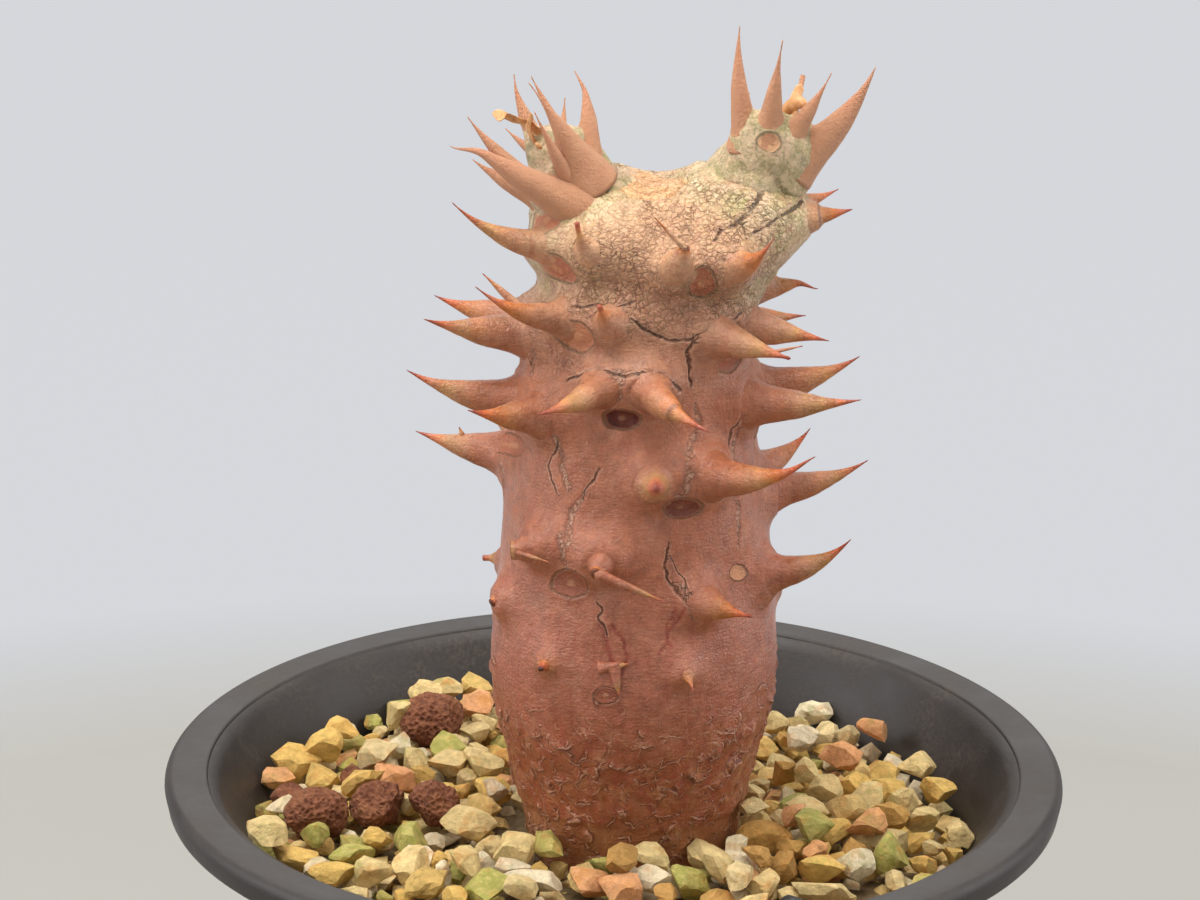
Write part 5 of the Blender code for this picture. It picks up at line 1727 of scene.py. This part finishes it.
def makeGravel():
    shapes = stoneVariants()
    draw = random.Random(gravel["seed"] + 1)
    stoneMaterial = makeStoneMaterial()
    lavaMaterial = makeLavaMaterial()
    fixed = [(*middle, sum(radii) / 3 * 1.12) for middle, radii, turn, tint in looseStones.values()]
    front = []
    lavaPieces = []
    for pixel, radii, turn, tint in frontStones.values():
        middle = onLevel(pixel, gravel["level"])
        for _ in range(3):
            middle = onLevel(pixel, gravel["level"] + float(bedRise(middle[0], middle[1])))
        fixed.append((*middle, sum(radii) / 3))
        shape, faces = shapes[draw.randrange(len(shapes))]
        stone = (placeStone(shape, middle, np.array(radii) * 1.04, turn, draw), faces, tint, draw.uniform(0.9, 1.08))
        (lavaPieces if tint > 1.5 else front).append(stone)
    spots, radius = packStones(np.array(fixed))
    coarse = [coarseStone(1), coarseStone(2)]
    groups = {"gravel_left": [], "gravel_right": []}
    for spot, size in zip(spots, radius):
        seen = spot[2] + size > 83.2
        shape, faces = shapes[draw.randrange(len(shapes))]
        ball, ballFaces = coarse[1 if seen else 0]
        nearest = np.argmax(ball @ (shape / np.linalg.norm(shape, axis=1)[:, None]).T, axis=1)
        radii = size * np.array([draw.uniform(1.0, 1.3), draw.uniform(0.9, 1.1), draw.uniform(0.75, 0.95)])
        tint = draw.choices((0.0, 0.2, 0.4, 0.6, 0.8, 1.0), (36, 15, 24, 8, 9, 8))[0] + draw.uniform(-0.05, 0.05)
        stone = (placeStone(shape[nearest], spot, radii, draw.uniform(0, 360), draw), ballFaces, tint,
                 draw.uniform(0.82, 1.08))
        groups["gravel_left" if spot[0] < 0 else "gravel_right"].append(stone)
    groups["gravel_front"] = front
    for name, stones in groups.items():
        seat(meshFrom(name, stones), "gravel", stoneMaterial, "gravel_bed")
    seat(meshFrom("small_lava", lavaPieces), "lava_stone", lavaMaterial)
    finishes = {"lava": lavaMaterial, "pale": stoneMaterial, "orange": stoneMaterial, "black": makePebbleMaterial()}
    for name, (middle, radii, turn, tint) in looseStones.items():
        makeLooseStone(name, middle, radii, turn, tint, finishes[name.split("_")[0]])
    low = 75.9
    points = np.array([(0, low), (throatRadius(low) - 0.4, low), (throatRadius(80) - 0.4, 79.6),
                       (throatRadius(80) - 2.5, gravel["underlay"] - 0.4)]
                      + [(r, gravel["underlay"]) for r in np.linspace(38, 13.2, 10)]
                      + [(12.6, gravel["underlay"] - 0.2), (0, gravel["underlay"] - 0.2)])
    return points, stoneMaterial


underPoints, gravelMaterial = makeGravel()
print("gravel laid")


def makeSoilMaterial(name, colour):
    material, tree, shader = startMaterial(name)
    place = objectPlace(tree)
    crumb = noiseOf(tree, 1.2, place, 8.0, 0.7)
    dark = tuple(part * 0.35 for part in colour)
    tree.links.new(colourRamp(tree, crumb, ((0.3, dark), (0.7, colour))), shader.inputs["Base Color"])
    shader.inputs["Roughness"].default_value = 0.95
    tree.links.new(bumpFrom(tree, crumb, 1.0), shader.inputs["Normal"])
    return material


under = turnOutline("gravel_under", underPoints, 96)
places = readPlaces(under)
away = np.hypot(places[:, 0], places[:, 1])
places[:, 2] += np.where((places[:, 2] > 80.3) & (away > 14) & (away < 38), 0.5 * lumps(places, 2.5, 3), 0)
writePlaces(under, places)
# the underlay's dark colour is painted shade in the gaps between stones, over the colour of deeper gravel
seat(under, "gravel", makeSoilMaterial("deep_gravel_and_gap_shade", (0.30, 0.20, 0.09)), "gravel_bed")
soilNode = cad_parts["soil"]
soilNode.data.materials.clear()
soilNode.data.materials.append(makeSoilMaterial("potting_mix", (0.08, 0.052, 0.035)))

# Shrivelled leaves


def makeLeafMaterial():
    material, tree, shader = startMaterial("shrivelled_leaf")
    place = objectPlace(tree)
    vein = noiseOf(tree, 1.2, place, 5.0, 0.6)
    colour = colourRamp(tree, vein, ((0.3, (0.42, 0.17, 0.06)), (0.55, (0.70, 0.36, 0.15)), (0.75, (0.84, 0.58, 0.33))))
    tree.links.new(colour, shader.inputs["Base Color"])
    shader.inputs["Roughness"].default_value = 0.6
    tree.links.new(bumpFrom(tree, vein, 0.12), shader.inputs["Normal"])
    return material


# Curled strips of each leaf: route by pixels, depth at both ends, width and twist
leaves = {
    "dry_leaf_left": (
        (((550, 154), (544, 142), (536, 131), (524, 123), (511, 117), (502, 114), (498, 121)), (-1.0, -4.0), 2.3, 100),
        (((546, 160), (537, 148), (530, 135), (528, 122), (532, 113)), (-2.0, -4.5), 0.9, 40),
        (((548, 158), (541, 152), (536, 144)), (-2.0, -4.0), 1.4, 60),
    ),
    "dry_leaf_right": (
        (((787, 122), (785, 112), (790, 105), (799, 103), (803, 108)), (-1.0, -3.0), 1.7, 110),
        (((789, 120), (793, 103), (801, 84)), (1.0, 3.0), 1.3, 50),
    ),
}


def makeStrip(route, depths, width, twist, seed):       # a thin dry ribbon, cupped, twisted and crumpled
    steps = np.linspace(0, 1, len(route))
    spots = np.array([atDepth(pixel, depths[0] + (depths[1] - depths[0]) * step) for pixel, step in zip(route, steps)])
    fine = np.linspace(0, 1, 60)
    line = np.stack([easedCurve(list(zip(steps, spots[:, k])), fine) for k in range(3)], axis=1)
    level, rise = spineFrames(line)

    def shape(u, v):
        t = np.clip(v, 0, 1)
        angle = 2 * math.pi * u
        turn = np.radians(twist) * t + 0.4 * np.sin(5 * t)
        middle, across, over = [np.stack([np.interp(t, fine, values[:, k]) for k in range(3)], axis=1)
                                for values in (line, level, rise)]
        flat = across * np.cos(turn)[:, None] + over * np.sin(turn)[:, None]
        face = over * np.cos(turn)[:, None] - across * np.sin(turn)[:, None]
        half = width / 2 * (0.45 + 0.55 * np.sin(math.pi * (0.1 + 0.75 * t))) * (1 - smoothRise(t, 0.9, 1.0) * 0.7)
        side = np.cos(angle)
        cup = 0.55 * half * (side * side - 0.5) + 0.22 * lumps(middle + flat * (half * side)[:, None], 1.1, seed)
        cup = cup * smoothRise(t, 0.0, 0.1)
        places = middle + flat * (half * side)[:, None] + face * (cup + 0.13 * np.sin(angle))[:, None]
        ends = (v <= 0) | (v >= 1)
        return np.where(ends[:, None], middle, places), {}

    return wrapGrid("strip", 22, 60, shape)


leafMaterial = makeLeafMaterial()
for name, strips in leaves.items():
    pieces = [makeStrip(*strip, seed) for seed, strip in enumerate(strips)]
    seat(joinPieces(name.replace("dry_leaf", "curled_leaf"), pieces), "dry_leaf", leafMaterial, name)
print("leaves curled")

# Floor and light

studio = {
    "floor": (0.36, 0.351, 0.322), "backdrop": (0.655, 0.670, 0.702), "edge": 272.0, "edgeSoft": 34.0,
    "world": (0.95, 0.97, 1.0), "worldStrength": 0.20,
    "sideWatts": 3.4, "topWatts": 8.0, "keyWatts": 2.2, "backWatts": 1.6,
}


def makeFloor():
    bpy.ops.object.select_all(action="DESELECT")
    bpy.ops.mesh.primitive_plane_add(size=12.0, location=(0, 0, 0))
    floor = bpy.context.object
    floor.name = "pale_floor"
    material, tree, shader = startMaterial("pale_table")
    place = objectPlace(tree)
    away = addNode(tree, "VectorMath", {"operation": "LENGTH"}, i0=place).outputs["Value"]
    soft = studio["edgeSoft"]
    amount = rescale(tree, away, (studio["edge"] - soft) * mm, (studio["edge"] + soft) * mm)
    cloud = rescale(tree, noiseOf(tree, 180.0, place, 2.0), 0.3, 0.7, 0.97, 1.03)
    colour = blendColour(tree, amount, studio["floor"], (0.0, 0.0, 0.0))
    colour = blendColour(tree, 1.0, colour, grey(tree, cloud), "MULTIPLY")
    glow = blendColour(tree, amount, (0.0, 0.0, 0.0), studio["backdrop"])          # an evenly lit backdrop
    tree.links.new(glow, shader.inputs["Emission Color"])
    shader.inputs["Emission Strength"].default_value = 1.0
    tree.links.new(colour, shader.inputs["Base Color"])
    shader.inputs["Roughness"].default_value = 0.85
    shader.inputs["Specular IOR Level"].default_value = 0.1
    floor.data.materials.append(material)


def addSoftLight(name, place, target, size, watts, colour=(1, 1, 1)):
    bpy.ops.object.light_add(type="AREA", location=[part * mm for part in place])
    light = bpy.context.object
    light.name = name
    light.data.shape = "RECTANGLE"
    light.data.size = size[0] * mm
    light.data.size_y = size[1] * mm
    light.data.energy = watts
    light.data.color = colour
    aim = Vector([part * mm for part in target]) - light.location
    light.rotation_euler = aim.to_track_quat("-Z", "Y").to_euler()


def makeStudio():
    world = bpy.data.worlds.new("soft_room")
    bpy.context.scene.world = world
    world.use_nodes = True
    background = world.node_tree.nodes["Background"]
    background.inputs["Color"].default_value = (*studio["world"], 1.0)
    background.inputs["Strength"].default_value = studio["worldStrength"]
    makeFloor()
    middle = (0, 0, 120)
    addSoftLight("left_window", (-700, -60, 420), middle, (600, 600), studio["sideWatts"], (0.97, 0.98, 1.0))
    addSoftLight("right_window", (700, 20, 380), middle, (600, 600), studio["sideWatts"], (0.97, 0.98, 1.0))
    addSoftLight("top_softbox", (-60, -60, 850), middle, (600, 600), studio["topWatts"], (1.0, 0.985, 0.96))
    addSoftLight("back_softbox", (0, 800, 500), middle, (900, 400), studio["backWatts"])
    addSoftLight("front_softbox", (-200, -760, 700), middle, (800, 600), studio["keyWatts"], (1.0, 0.97, 0.93))
    bpy.context.scene.view_settings.view_transform = "Standard"


makeStudio()
